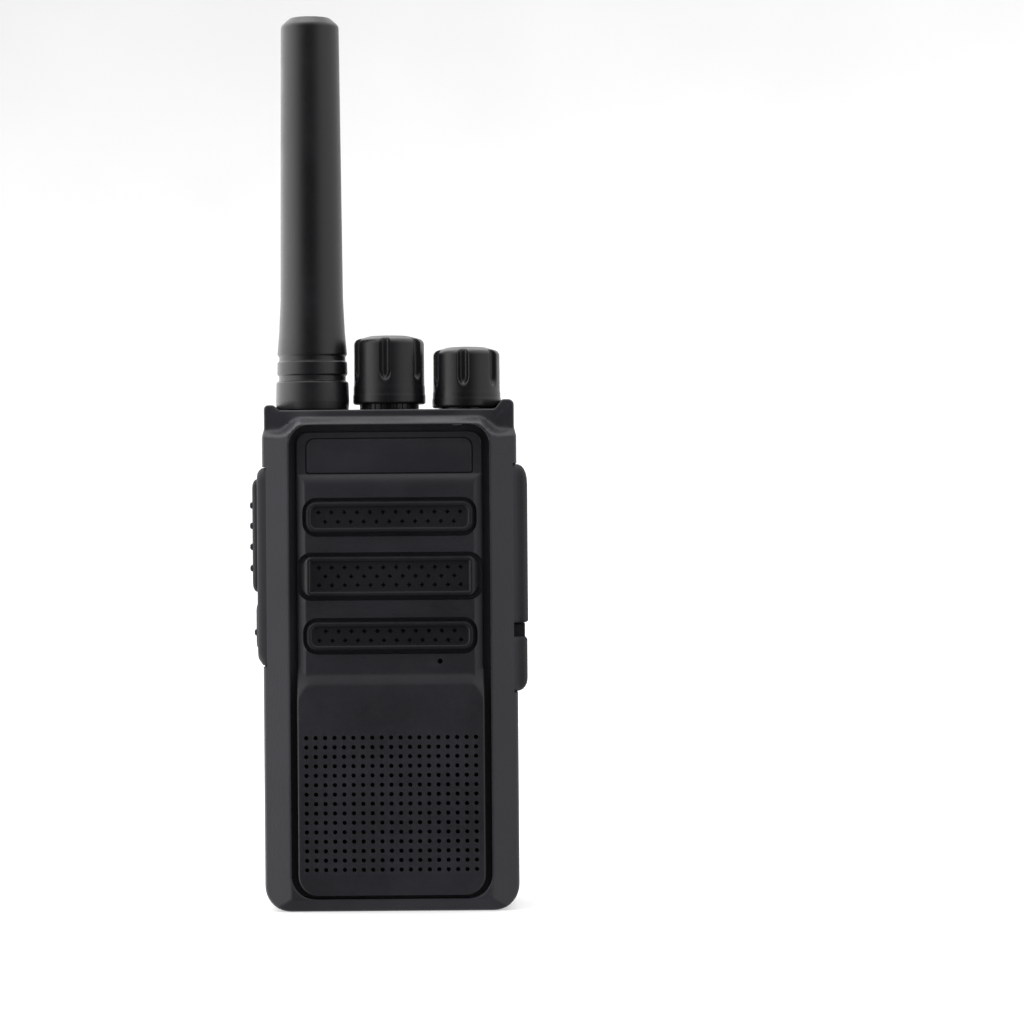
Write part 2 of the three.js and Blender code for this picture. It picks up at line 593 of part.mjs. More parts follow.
function sideKey(name, key, ribHeights, ribProud) {
  const ribs = ribHeights.map((z) => sidePrism(
    roundedRectangle([CONTROL_Y - 2.9, CONTROL_Y + 2.9], [z - 0.65, z + 0.65], 0.6),
    [key.outerX - ribProud, key.outerX + 0.5], 2));
  const body = sidePrism(keyOutline(key), [key.outerX, KEY_INNER_X], 3);
  const bevel = frontPrism(polygon([
    [KEY_INNER_X, key.bottom - 1], [KEY_INNER_X, key.top + 1], [key.outerX + 1.0, key.top + 1],
    [key.outerX - ribProud, key.top - 1.6], [key.outerX - ribProud, key.bottom + 1.6],
    [key.outerX + 1.0, key.bottom - 1],
  ].reverse()), [-12, 4]);
  return piece(name, joined(body, ...ribs).intersect(bevel), 'rubber');
}

function sideSwitches() {
  const board = box([-21.7, -20.9], [CONTROL_Y - 4.4, -2.6], [53, 91]);
  const switchAt = (name, z) => piece(name, joined(
    box([-22.5, -21.8], [CONTROL_Y - 2.2, -2.8], [z - 2, z + 2]),
    box([-22.8, -22.4], [CONTROL_Y - 1, -3.2], [z - 0.7, z + 0.7])), 'steel');
  return [
    piece('side_key_board', board, 'circuitBoard'),
    switchAt('talk_switch', 78.4),
    switchAt('call_switch', 59.3),
  ];
}

// ---------------------------------------------------------------- accessory socket and cover (right)
const COVER = { halfWidth: 5.8, bottom: 60.5, top: 93.2, innerX: 26.75, outerX: 28.9 };
const ANCHOR = { bottom: 46.4, top: 57.5 };

function accessoryCover() {
  const outline = roundedRectangle(
    [CONTROL_Y - COVER.halfWidth, CONTROL_Y + COVER.halfWidth], [COVER.bottom, COVER.top], 1.2, 2.6);
  const ends = polygon([
    [COVER.innerX, COVER.bottom], [COVER.outerX, COVER.bottom], [COVER.outerX, 89], [28.3, 92.4],
    [27.8, COVER.top], [COVER.innerX, COVER.top],
  ]);
  return piece('accessory_cover', sidePrism(outline, [COVER.innerX, COVER.outerX])
    .intersect(frontPrism(ends, [-20, 10])), 'rubber');
}

function coverAnchor() {
  const outline = roundedRectangle(
    [CONTROL_Y - COVER.halfWidth, CONTROL_Y + COVER.halfWidth], [ANCHOR.bottom, ANCHOR.top], 2.4, 1.2);
  const neck = sidePrism(
    roundedRectangle([CONTROL_Y - 4, CONTROL_Y + 4], [56, 60.1], 0.5), [COVER.innerX, 28.2]);
  const ends = polygon([
    [COVER.innerX, 62], [COVER.innerX, 45], [27.4, 45], [27.7, ANCHOR.bottom], [28.7, 48], [28.7, 62],
  ].reverse());
  const screwSeat = alongX(rod(2.3, [28.0, 30], 16)).translate([0, CONTROL_Y, COVER_SCREW_Z]);
  const screwHole = alongX(rod(1.3, [20, 30], 12)).translate([0, CONTROL_Y, COVER_SCREW_Z]);
  const body = joined(sidePrism(outline, [COVER.innerX, 28.7]), neck)
    .intersect(frontPrism(ends, [-20, 10]));
  return piece('cover_anchor', cut(body, screwSeat, screwHole), 'rubber');
}

function coverScrew() {
  const screw = joined(rod(1.9, [28.1, 28.6], 14), rod(1.0, [26.8, 28.2], 10));
  return piece('cover_screw', alongX(screw).translate([0, CONTROL_Y, COVER_SCREW_Z]), 'steel');
}

function jackBlock() {
  const body = sidePrism(
    roundedRectangle([CONTROL_Y - 4.2, CONTROL_Y + 1.4], [63.8, 88.2], 0.8), [16, 26.4]);
  const bores = [[70, 1.3], [81.5, 1.85]].map(
    ([z, radius]) => alongX(rod(radius, [17.5, 30], 14)).translate([0, CONTROL_Y, z]));
  return piece('jack_block', cut(body, ...bores), 'glossBlack');
}

// ---------------------------------------------------------------- battery pack
const BATTERY_CORNER = 4.0;

function batteryOuter() {
  const outline = new THREE.Shape();
  outline.moveTo(-HALF, BATTERY_FRONT_Y);
  outline.lineTo(HALF, BATTERY_FRONT_Y);
  outline.absarc(HALF - BATTERY_CORNER, BACK_Y - BATTERY_CORNER, BATTERY_CORNER, 0, Math.PI / 2, false);
  outline.absarc(
    BATTERY_CORNER - HALF, BACK_Y - BATTERY_CORNER, BATTERY_CORNER, Math.PI / 2, Math.PI, false);
  const front = roundedRectangle([-HALF, HALF], [0, BATTERY_TOP], FOOT_RADIUS, 0.8);
  return raised(outline, [0, BATTERY_TOP], 5).intersect(frontPrism(front, [-1, 20], 5));
}

const LID_Y = [BATTERY_FRONT_Y, 5.5];

function batteryPack() {
  const inside = frontPrism(roundedRectangle([-24.7, 24.7], [2.0, 80.7], 3.5, 1), [0, BACK_Y - 1.6]);
  const lugs = [-1, 1].map((side) => box(
    [side * LUG.offset - LUG.half, side * LUG.offset + LUG.half], LUG.y,
    [BATTERY_TOP - 0.5, BATTERY_TOP + LUG.height]));
  const latchNotch = box([-LATCH_HALF_WIDTH - 0.4, LATCH_HALF_WIDTH + 0.4], [0, 6.4], [-1, 1.75]);
  const shell = cut(joined(batteryOuter(), ...lugs), inside, latchNotch);
  const lidOutline = roundedRectangle([-24.4, 24.4], [2.3, 80.4], 3.2, 0.8);
  const padWindows = CONTACT_XS.map(
    (x) => box([x - 1.5, x + 1.5], [0, 10], [CONTACT_Z - 3, CONTACT_Z + 3]));
  const screwReliefs = [-1, 1].map(
    (side) => towardsFront(rod(2.4, [-5.2, 0], 14)).translate([side * SCREW_X, 0, SCREW_Z]));
  const lid = cut(frontPrism(lidOutline, LID_Y), ...padWindows, ...screwReliefs);
  const cell = () => frontPrism(roundedRectangle([-11.4, 11.4], [26, 78], 1.2), [6.0, 14.3], 2);
  const pads = CONTACT_XS.map(
    (x) => box([x - 1.2, x + 1.2], [4.9, 6.6], [CONTACT_Z - 2.7, CONTACT_Z + 2.7]));
  const board = joined(box([-20, 20], [6.4, 7.4], [10, 22]), ...pads);
  return [
    piece('battery_shell', shell, 'housingPlastic'),
    piece('battery_lid', lid, 'housingPlastic'),
    piece('battery_cell_left', cell(), 'cellWrap', [-11.8, 0, 0]),
    piece('battery_cell_right', cell(), 'cellWrap', [11.8, 0, 0]),
    piece('battery_board', board, 'circuitBoard'),
  ];
}

function batteryLatch() {
  const slide = box([-LATCH_HALF_WIDTH, LATCH_HALF_WIDTH], [-1.2, 5.9], [0.35, 1.5]);
  const grips = [0.4, 1.6, 2.8].map((y) => box([-6, 6], [y - 0.3, y + 0.3], [0, 0.7]));
  return piece('battery_latch', cut(slide, ...grips), 'housingPlastic');
}

// ---------------------------------------------------------------- belt clip
const PIN_Y = 20.6;
const PIN_Z = 74;
const PIN_RADIUS = 1.0;
const BRACKET_HALF = 11.4;
const EAR_THICKNESS = 1.3;
const CLIP_HALF = 9.6;
const CLIP_TOP = PIN_Z + 8.2;
const CLIP_BOTTOM = 24;
const KNUCKLE_LENGTH = 3.6;
const CLIP_SCREW_X = 6;
const CLIP_SCREW_Z = 67.5;

function clipBracket() {
  const plate = frontPrism(
    roundedRectangle([-BRACKET_HALF, BRACKET_HALF], [64, 78], 1.5), [BACK_Y + 0.05, BACK_Y + 1.5], 3);
  const earOutline = new THREE.Shape();
  earOutline.absarc(PIN_Y, PIN_Z, 2.3, -Math.PI / 2, Math.PI / 2, false);
  earOutline.lineTo(BACK_Y + 1, PIN_Z + 4);
  earOutline.lineTo(BACK_Y + 1, PIN_Z - 4);
  const rightEar = [BRACKET_HALF - EAR_THICKNESS, BRACKET_HALF];
  const leftEar = [-BRACKET_HALF, EAR_THICKNESS - BRACKET_HALF];
  const ears = [leftEar, rightEar].map((span) => sidePrism(earOutline, span, 8));
  const pinHole = alongX(rod(PIN_RADIUS + 0.15, [-20, 20], 14)).translate([0, PIN_Y, PIN_Z]);
  const screwHoles = [-1, 1].map((side) => towardsFront(rod(1.4, [-22, -10], 12))
    .translate([side * CLIP_SCREW_X, 0, CLIP_SCREW_Z]));
  return piece('clip_bracket', cut(joined(plate, ...ears), pinHole, ...screwHoles), 'steel');
}

function clipScrews() {
  return [-1, 1].map((side) => {
    const name = side < 0 ? 'clip_screw_left' : 'clip_screw_right';
    const screw = joined(rod(2.1, [0, 0.8], 14), rod(1.1, [-1.3, 0.2], 10)).rotate([-QUARTER_TURN, 0, 0]);
    return piece(name, screw, 'steel', [side * CLIP_SCREW_X, BACK_Y + 1.55, CLIP_SCREW_Z]);
  });
}

function clipPin() {
  return piece('clip_pin', alongX(rod(PIN_RADIUS, [-12.1, 12.1], 14)), 'steel', [0, PIN_Y, PIN_Z]);
}

// Torsion spring: a coil round the pin between the clip's two knuckles.
class Coil extends THREE.Curve {
  constructor(turns, radius, halfLength) {
    super();
    this.turns = turns;
    this.radius = radius;
    this.halfLength = halfLength;
  }

  getPoint(t, target = new THREE.Vector3()) {
    const angle = 2 * Math.PI * this.turns * t;
    return target.set(
      this.halfLength * (2 * t - 1), this.radius * Math.cos(angle), this.radius * Math.sin(angle));
  }
}

function clipSpring() {
  const turns = 6;
  const wire = new THREE.Shape();
  wire.absarc(0, 0, 0.35, 0, 2 * Math.PI, false);
  const geometry = new THREE.ExtrudeGeometry(wire, {
    steps: 10 * turns, extrudePath: new Coil(turns, 1.75, 4.6), bevelEnabled: false, curveSegments: 3,
  });
  return piece('clip_spring', solid(geometry), 'steel', [0, PIN_Y, PIN_Z]);
}

function beltClip() {
  const side = new THREE.Shape();
  side.moveTo(20.9, CLIP_TOP);
  side.lineTo(22.4, PIN_Z + 2);
  side.splineThru([
    new THREE.Vector2(23.0, 58), new THREE.Vector2(21.8, 40), new THREE.Vector2(19.6, 27.5),
  ]);
  side.lineTo(18.4, CLIP_BOTTOM);
  side.lineTo(16.9, 26.6);
  side.lineTo(17.1, 28.6);
  side.splineThru([
    new THREE.Vector2(19.8, 41), new THREE.Vector2(20.9, 58), new THREE.Vector2(20.7, PIN_Z - 4),
  ]);
  side.lineTo(20.7, PIN_Z + 2.6);
  side.lineTo(19.4, PIN_Z + 7.6);
  const outline = polygon([
    [-5, CLIP_BOTTOM], [5, CLIP_BOTTOM], [7.6, 27], [CLIP_HALF, 62], [CLIP_HALF, 84], [-CLIP_HALF, 84],
    [-CLIP_HALF, 62], [-7.6, 27],
  ]);
  const blade = sidePrism(side, [-CLIP_HALF, CLIP_HALF], 6).intersect(frontPrism(outline, [10, 30]));
  const inner = CLIP_HALF - KNUCKLE_LENGTH;
  const knuckles = [[-CLIP_HALF, -inner], [inner, CLIP_HALF]].map(
    (span) => alongX(rod(2.2, span, 16)).translate([0, PIN_Y, PIN_Z]));
  const springRoom = alongX(rod(2.75, [-inner, inner], 16)).translate([0, PIN_Y, PIN_Z]);
  const pinBore = alongX(rod(PIN_RADIUS + 0.2, [-20, 20], 14)).translate([0, PIN_Y, PIN_Z]);
  return piece('belt_clip', cut(joined(blade, ...knuckles), springRoom, pinBore), 'housingPlastic');
}

// ---------------------------------------------------------------- the whole radio
const radio = assembly([0, -FOOT_POINT_Y, 0],
  frontHousing(),
  frontPanel(),
  namePlate(),
  ...BARS.map(trimBar),
  statusLightPipe(),
  speaker(),
  microphone(),
  ...electronics(),
  chassis(),
  housingSeal(),
  ...chassisScrews(),
  ...radioContacts(),
  rotaryControl({
    x: CHANNEL_X, knobName: 'channel_knob', shaftName: 'channel_shaft', bodyName: 'channel_encoder',
    shape: CHANNEL_KNOB, bodyHalf: 6.2,
  }),
  rotaryControl({
    x: VOLUME_X, knobName: 'volume_knob', shaftName: 'volume_shaft', bodyName: 'volume_potentiometer',
    shape: VOLUME_KNOB, bodyHalf: 5.8,
  }),
  channelCollar(),
  aerial(),
  sideKeyCarrier(),
  sideKey('talk_key', TALK_KEY, [84.7, 80.4, 76.0, 71.5], 0.5),
  sideKey('call_key', CALL_KEY, [58.0], 0.4),
  ...sideSwitches(),
  accessoryCover(),
  coverAnchor(),
  coverScrew(),
  jackBlock(),
  ...batteryPack(),
  batteryLatch(),
  clipBracket(),
  ...clipScrews(),
  clipPin(),
  clipSpring(),
  beltClip(),
);

export default radio;
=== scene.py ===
# Looks of a handheld two-way radio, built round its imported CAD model. Drawn in millimetres about the
# middle of the body's depth (X to the right, Y to the back, Z up) and placed in metres.
import json
import math
import bmesh
import bpy
import numpy as np
from mathutils import Matrix, Vector

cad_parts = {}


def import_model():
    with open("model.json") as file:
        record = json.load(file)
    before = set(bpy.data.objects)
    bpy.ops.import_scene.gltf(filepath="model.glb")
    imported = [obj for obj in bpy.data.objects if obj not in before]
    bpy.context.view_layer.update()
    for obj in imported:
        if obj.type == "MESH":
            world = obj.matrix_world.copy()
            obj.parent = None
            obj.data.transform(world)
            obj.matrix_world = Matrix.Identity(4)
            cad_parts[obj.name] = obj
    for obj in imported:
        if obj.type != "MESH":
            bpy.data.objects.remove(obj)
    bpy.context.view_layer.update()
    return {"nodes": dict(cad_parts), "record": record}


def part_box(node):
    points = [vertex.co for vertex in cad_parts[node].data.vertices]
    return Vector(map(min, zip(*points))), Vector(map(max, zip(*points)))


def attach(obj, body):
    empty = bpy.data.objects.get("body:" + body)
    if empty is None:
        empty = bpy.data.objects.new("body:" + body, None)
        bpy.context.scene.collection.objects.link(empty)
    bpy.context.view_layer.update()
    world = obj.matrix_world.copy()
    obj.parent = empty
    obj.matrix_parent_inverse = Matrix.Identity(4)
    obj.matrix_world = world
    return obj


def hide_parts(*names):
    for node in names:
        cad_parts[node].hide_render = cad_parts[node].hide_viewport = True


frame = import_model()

RECORD = frame["record"]
BODY_OF = {node: body for body, nodes in RECORD["behaviour"]["bodies"].items() for node in nodes}
SLOT_OF = {part["node"]: part["material_slot"] for part in RECORD["subparts"]}

# ---------- driving dimensions (millimetres)
MM = 0.001
HALF = 26.55  # half the body's width
CAP_HALF = 26.1  # half the width above the shoulders
BODY_TOP = 104.5
TOWER_TOP = 106.5  # the raised corner beside the volume knob
LIP_TOP = 105.6  # the small rise beside the aerial
SHOULDER_Z = 98.8  # the sides step in from here up to the cap's start
CAP_START_Z = 100.6
FRONT_Y = -16.5
BACK_Y = 16.5
PARTING_Y = 4.0
BATTERY_FRONT_Y = 4.3
FOOT_RADIUS = 5.5
WALL = 1.8
CONTROL_Y = -4.0  # the aerial, the knobs and the side parts are centred on this depth

BEZEL_CREST_HALF = 20.85  # outwards from here the bezel slants back, up to its rounded side edge
BEZEL_SLANT = math.tan(math.radians(21))
BEZEL_SIDE_RADIUS = 0.5
FOOT_SLANT = 0.6  # the bezel's lower edge leans back towards the foot
BEZEL_TOP = 103.1
BEZEL_DROP = 2.6  # how far the bezel's upper edge falls at the shoulders
SHOULDER_START = 18.4  # the fall starts this far out and takes up this much width
SHOULDER_RUN = 4.8
CAP_FRONT_Y = -13.3
CAP_CROWN = 1.3  # how far the cap bulges forwards in the middle
STEP_WIDTH = 2.1
OUTER_EDGE = 0.4
LIP_EDGE = 0.3
SOCKET_HOLE_RADIUS = 4.7  # the holes in the cap under the aerial and the knobs
AERIAL_SEAT_RADIUS = 8.03
VOLUME_SEAT_RADIUS = 7.63

PANEL_HALF = 19.5
PANEL_BOTTOM = 3.4
PANEL_TOP = 99.9
PANEL_LOWER_RADIUS = 4.2
PANEL_UPPER_RADIUS = 2.8
GROOVE = 1.35  # width of the groove round the panel, and of its stretch below the panel
LOWER_GROOVE = 0.75
SEAT_Y = -13.7  # floor of the groove
PLATE_ZONE_Y = -15.0
BAR_ZONE_Y = -15.9
GRILLE_ZONE_Y = -16.7
BAR_FRONT_Y = -16.9

AERIAL_X = -16.2
CHANNEL_X = 0.0
VOLUME_X = 16.3
SCREW_X = 19.5
SCREW_Z = 7.6

REBATE_HALF = 25.75  # half the width left between the rebates that take the rubber parts
SIDE_PART_DEPTHS = (CONTROL_Y - 5.8, CONTROL_Y + 5.8)
CARRIER_HEIGHTS = (51.0, 92.6)
COVER_HEIGHTS = (59.7, 93.0)
ANCHOR_HEIGHTS = (45.3, 56.8)
JACK_WINDOW_HEIGHTS = (63.4, 88.6)
KEY_WINDOW_HEIGHTS = (53, 91.4)
COVER_SCREW_Z = 52

BACK_CORNER = 4.0  # radius of the upright corners at the back
REAR_BLOCK_BOTTOM = 83.0
BATTERY_TOP = 82.5
LUG_X = 15  # the two lugs the battery pack hangs by
PIN_Y = 20.6  # the belt clip's pin
PIN_Z = 74.0
EAR_RADIUS = 2.3  # of the two ears that hold it
CLIP_SCREW_X = 6
CLIP_SCREW_Z = 67.5

# The drawing's own depth zero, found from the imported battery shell's back face.
DEPTH_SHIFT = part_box("battery_shell")[1].y / MM - BACK_Y


# ---------- outlines
def filleted(corners, steps):
    """Closed outline from (a, b, radius) corners, each rounded by an arc of its own radius."""
    points = []
    for i, (a, b, radius) in enumerate(corners):
        here = Vector((a, b))
        before = (Vector(corners[i - 1][:2]) - here).normalized()
        after = (Vector(corners[(i + 1) % len(corners)][:2]) - here).normalized()
        turn = math.pi - before.angle(after)
        if radius == 0 or turn < 0.01:
            points.append((a, b))
            continue
        reach = radius * math.tan(turn / 2)
        start = here + before * reach
        end = here + after * reach
        centre = here + (before + after).normalized() * (radius / math.cos(turn / 2))
        from_centre = start - centre
        sweep = from_centre.angle_signed(end - centre)
        for k in range(steps + 1):
            spun = Matrix.Rotation(-sweep * k / steps, 2) @ from_centre
            points.append(tuple(centre + spun))
    return points


def open_filleted(corners, steps):
    """The same rounding along an open line; the two end points stay as they are."""
    return filleted([(*corners[0][:2], 0), *corners[1:-1], (*corners[-1][:2], 0)], steps)


def subdivided(points, spacing, closed=True):
    """An outline, or an open line, with its long edges divided."""
    result = []
    for point, following in zip(points, points[1:] + points[:closed]):
        parts = max(1, math.ceil(math.dist(point, following) / spacing))
        for k in range(parts):
            share = k / parts
            result.append(tuple(a + (b - a) * share for a, b in zip(point, following)))
    return result if closed else result + points[-1:]


def rounded_rectangle(a0, a1, b0, b1, lower, upper=None, steps=6):
    """Outline whose lower and upper corners may have different radii."""
    upper = lower if upper is None else upper
    return filleted([(a0, b0, lower), (a1, b0, lower), (a1, b1, upper), (a0, b1, upper)], steps)


def ease(t):
    """0 to 1 along an S-curve."""
    t = np.clip(t, 0, 1)
    return t * t * (3 - 2 * t)


def roundover(distance, radius):
    """How far a surface falls away at this distance from an edge rounded by the radius."""
    d = np.clip(radius - np.asarray(distance), 0, radius)
    return radius - np.sqrt(np.maximum(radius * radius - d * d, 0))


def distance_to_outline(points, outline):
    """The shortest distance from each point to a closed outline."""
    a = np.asarray(outline)
    b = np.roll(a, -1, axis=0)
    best = np.full(len(points), 1e9)
    for start, end in zip(a, b):
        along = end - start
        share = np.clip(((points - start) @ along) / max(along @ along, 1e-12), 0, 1)
        nearest = start + share[:, None] * along
        best = np.minimum(best, np.linalg.norm(points - nearest, axis=1))
    return best


# ---------- meshes
AXES = {
    "front": lambda a, b, depth: (a, depth, b),  # outline in X and Z, depth along Y
    "side": lambda a, b, depth: (depth, a, b),  # outline in Y and Z, depth along X
    "top": lambda a, b, depth: (a, b, depth),  # outline in X and Y, depth along Z
}


def mesh_object(points, faces, sharp_angle):
    mesh = bpy.data.meshes.new("piece")
    placed = (np.asarray(points, float) + (0, DEPTH_SHIFT, 0)) * MM
    mesh.from_pydata(placed.tolist(), [], faces)
    work = bmesh.new()
    work.from_mesh(mesh)
    bmesh.ops.remove_doubles(work, verts=work.verts, dist=1e-7)
    bmesh.ops.recalc_face_normals(work, faces=work.faces)
    work.to_mesh(mesh)
    work.free()
    shade(mesh, sharp_angle)
    obj = bpy.data.objects.new("piece", mesh)
    bpy.context.scene.collection.objects.link(obj)
    return obj


def shade(mesh, sharp_angle):
    mesh.shade_smooth()
    mesh.set_sharp_from_angle(angle=math.radians(sharp_angle))


def lofted(loops, sharp_angle=35, ends="closed"):
    """A skin over loops of equally many points. Its two ends are closed, joined in a ring, or open."""
    count = len(loops[0])
    points = [point for loop in loops for point in loop]
    faces = []
    for level in range(len(loops) if ends == "joined" else len(loops) - 1):
        base = level * count
        above = (base + count) % len(points)
        for i in range(count):
            j = (i + 1) % count
            faces.append((base + i, base + j, above + j, above + i))
    if ends == "closed":
        faces.append(tuple(range(count))[::-1])
        faces.append(tuple(range(len(points) - count, len(points))))
    return mesh_object(points, faces, sharp_angle)


def stacked(axis, span_a, span_b, radii, profile, sharp_angle=35, steps=6):
    """Rounded rectangles stacked along an axis. Each profile row is (inset sideways, inset below,
    inset above, depth), or (inset, depth); the corner radii shrink with the sideways inset."""
    place = AXES[axis]
    loops = []
    for *insets, depth in profile:
        side, below, above = insets if len(insets) == 3 else insets * 3
        a0, a1 = span_a[0] + side, span_a[1] - side
        b0, b1 = span_b[0] + below, span_b[1] - above
        limit = 0.49 * min(a1 - a0, b1 - b0)
        lower = min(max(radii[0] - side, 0.15), limit)
        upper = min(max(radii[1] - side, 0.15), limit)
        outline = rounded_rectangle(a0, a1, b0, b1, lower, upper, steps)
        loops.append([place(a, b, depth) for a, b in outline])
    return lofted(loops, sharp_angle)


def prism(axis, outline, depths):
    """An outline drawn out between depths along an axis."""
    place = AXES[axis]
    return lofted([[place(a, b, depth) for a, b in outline] for depth in depths])


def slab(axis, span_a, span_b, radius, depths):
    """A straight block with rounded corners, used to cut windows and slots."""
    return prism(axis, rounded_rectangle(*span_a, *span_b, radius), depths)


def turned(profile, centre, axis="top", segments=64, radius_at=None, sharp_angle=35,
           ends="closed"):
    """A solid turned from (radius, height) points; radius_at may change the radius at an angle."""
    loops = []
    for radius, height in profile:
        loop = []
        for i in range(segments):
            angle = 2 * math.pi * i / segments
            r = max(radius, 1e-5)
            if radius_at:
                r = radius_at(r, height, angle)
            a, b = r * math.cos(angle), r * math.sin(angle)
            x, y, z = AXES[axis](a, b, height)
            loop.append((x + centre[0], y + centre[1], z + centre[2]))
        loops.append(loop)
    return lofted(loops, sharp_angle, ends)


def combined(obj, cutters, operation="DIFFERENCE", sharp_angle=35):
    """Cuts the cutters out of a piece, or joins them to it. The cutters are used up."""
    for cutter in cutters:
        step = obj.modifiers.new("combine", "BOOLEAN")
        step.operation = operation
        step.solver = "EXACT"
        step.object = cutter
    graph = bpy.context.evaluated_depsgraph_get()
    result = bpy.data.meshes.new_from_object(obj.evaluated_get(graph))
    obj.modifiers.clear()
    obj.data = result
    shade(result, sharp_angle)
    for cutter in cutters:
        bpy.data.objects.remove(cutter)
    return obj


def drilled(obj, holes, sharp_angle=35):
    """Cuts many separate holes in one step, as a single cutter."""
    work = bmesh.new()
    for hole in holes:
        work.from_mesh(hole.data)
        bpy.data.objects.remove(hole)
    mesh = bpy.data.meshes.new("holes")
    work.to_mesh(mesh)
    work.free()
    cutter = bpy.data.objects.new("holes", mesh)
    bpy.context.scene.collection.objects.link(cutter)
    return combined(obj, [cutter], sharp_angle=sharp_angle)


def rod(radius, span, centre, axis="top", segments=32):
    """A round bar, used to cut holes and to build knuckles."""
    return turned([(0, span[0]), (radius, span[0]), (radius, span[1]), (0, span[1])],
                  centre, axis, segments)


# ---------- materials
class Nodes:
    """A node tree with short ways to add nodes and links."""

    def __init__(self, owner):
        owner.use_nodes = True
        self.tree = owner.node_tree

    def node(self, kind, **inputs):
        made = self.tree.nodes.new(kind)
        for key, value in inputs.items():
            made.inputs[key].default_value = value
        return made

    def link(self, source, target):
        self.tree.links.new(source, target)

    def combine(self, operation, first, second):
        made = self.node("ShaderNodeMath")
        made.operation = operation
        for slot, value in enumerate((first, second)):
            if isinstance(value, (int, float)):
                made.inputs[slot].default_value = value
            else:
                self.link(value, made.inputs[slot])
        return made.outputs[0]


class Recipe(Nodes):
    """A material, with the textures that the finishes are mixed from."""

    def __init__(self, name):
        self.material = bpy.data.materials.new(name)
        super().__init__(self.material)
        self.tree.nodes.clear()
        self.shader = self.node("ShaderNodeBsdfPrincipled")
        output = self.node("ShaderNodeOutputMaterial")
        self.link(self.shader.outputs["BSDF"], output.inputs["Surface"])
        self.place = self.node("ShaderNodeTexCoord").outputs["Object"]

    def feed(self, name, value):
        """Sets the shader's input to a number or colour, or links a socket to it."""
        target = self.shader.inputs[name]
        if isinstance(value, bpy.types.NodeSocket):
            self.link(value, target)
        else:
            target.default_value = value

    def noise(self, size_mm, detail, stretch=None):
        """Noise whose features are about size_mm across; stretch scales the three axes."""
        made = self.node("ShaderNodeTexNoise", Scale=1.0 / (size_mm * MM), Detail=detail)
        source = self.place
        if stretch:
            mapping = self.node("ShaderNodeMapping", Scale=stretch)
            self.link(self.place, mapping.inputs["Vector"])
            source = mapping.outputs["Vector"]
        self.link(source, made.inputs["Vector"])
        return made.outputs["Fac"]

    def ranged(self, source, low, high, out_low=0.0, out_high=1.0):
        """Stretches the source's range from low to high over the output's range."""
        made = self.node("ShaderNodeMapRange", **{
            "From Min": low, "From Max": high, "To Min": out_low, "To Max": out_high})
        self.link(source, made.inputs["Value"])
        return made.outputs["Result"]

    def blend(self, share, first, second):
        made = self.node("ShaderNodeMix")
        made.data_type = "RGBA"
        self.link(share, made.inputs[0])
        for slot, value in ((6, first), (7, second)):
            if isinstance(value, tuple):
                made.inputs[slot].default_value = (*value, 1)
            else:
                self.link(value, made.inputs[slot])
        return made.outputs[2]

    def edges(self):
        """1 on outward corners, 0 on flats."""
        geometry = self.node("ShaderNodeNewGeometry")
        return self.ranged(geometry.outputs["Pointiness"], 0.52, 0.6)

    def bump(self, *heights):
        """Chained bumps from (height, depth in mm) pairs."""
        previous = None
        for height, depth_mm in heights:
            made = self.node("ShaderNodeBump", Distance=depth_mm * MM, Strength=1.0)
            self.link(height, made.inputs["Height"])
            if previous:
                self.link(previous, made.inputs["Normal"])
            previous = made.outputs["Normal"]
        self.link(previous, self.shader.inputs["Normal"])


def plastic(name, colour, roughness, grain_mm, grain_depth_mm, specular, wear):
    """Moulded plastic or rubber: spark-eroded grain, handling blotches, paler rubbed edges."""
    recipe = Recipe(name)
    grain = recipe.noise(grain_mm, 2.0)
    blotch = recipe.noise(14.0, 4.0)
    dust = recipe.noise(0.9, 5.0)
    darker = tuple(c * 0.86 for c in colour)
    lighter = tuple(c * 1.14 for c in colour)
    rubbed = tuple(min(1.0, c * 2.1 + 0.006) for c in colour)
    tone = recipe.blend(recipe.ranged(blotch, 0.35, 0.65), darker, lighter)
    edge = recipe.combine("MULTIPLY", recipe.edges(), wear)
    edge = recipe.combine("MULTIPLY", edge, recipe.ranged(dust, 0.35, 0.65, 0.4, 1.0))
    recipe.feed("Base Color", recipe.blend(edge, tone, rubbed))
    rough = recipe.ranged(blotch, 0.3, 0.7, roughness - 0.05, roughness + 0.05)
    rough = recipe.combine("ADD", rough, recipe.ranged(dust, 0.3, 0.7, -0.03, 0.03))
    recipe.feed("Roughness", rough)
    recipe.feed("Specular IOR Level", specular)
    recipe.bump((grain, grain_depth_mm), (blotch, 0.02))
    return recipe.material


def metal(name, colour, roughness):
    """Plated metal: fine brushing, tarnish patches, bright rubbed edges."""
    recipe = Recipe(name)
    lines = recipe.noise(0.6, 3.0, (1.0, 1.0, 12.0))
    tarnish = recipe.noise(6.0, 5.0)
    dull = tuple(c * 0.72 for c in colour)
    tone = recipe.blend(recipe.ranged(tarnish, 0.4, 0.7), colour, dull)
    bright = tuple(min(1.0, c * 1.25) for c in colour)
    recipe.feed("Base Color", recipe.blend(recipe.combine("MULTIPLY", recipe.edges(), 0.6), tone, bright))
    rough = recipe.ranged(tarnish, 0.3, 0.7, roughness - 0.06, roughness + 0.1)
    rough = recipe.combine("ADD", rough, recipe.ranged(lines, 0.3, 0.7, -0.04, 0.04))
    recipe.feed("Roughness", rough)
    recipe.feed("Metallic", 1.0)
    recipe.bump((lines, 0.006))
    return recipe.material


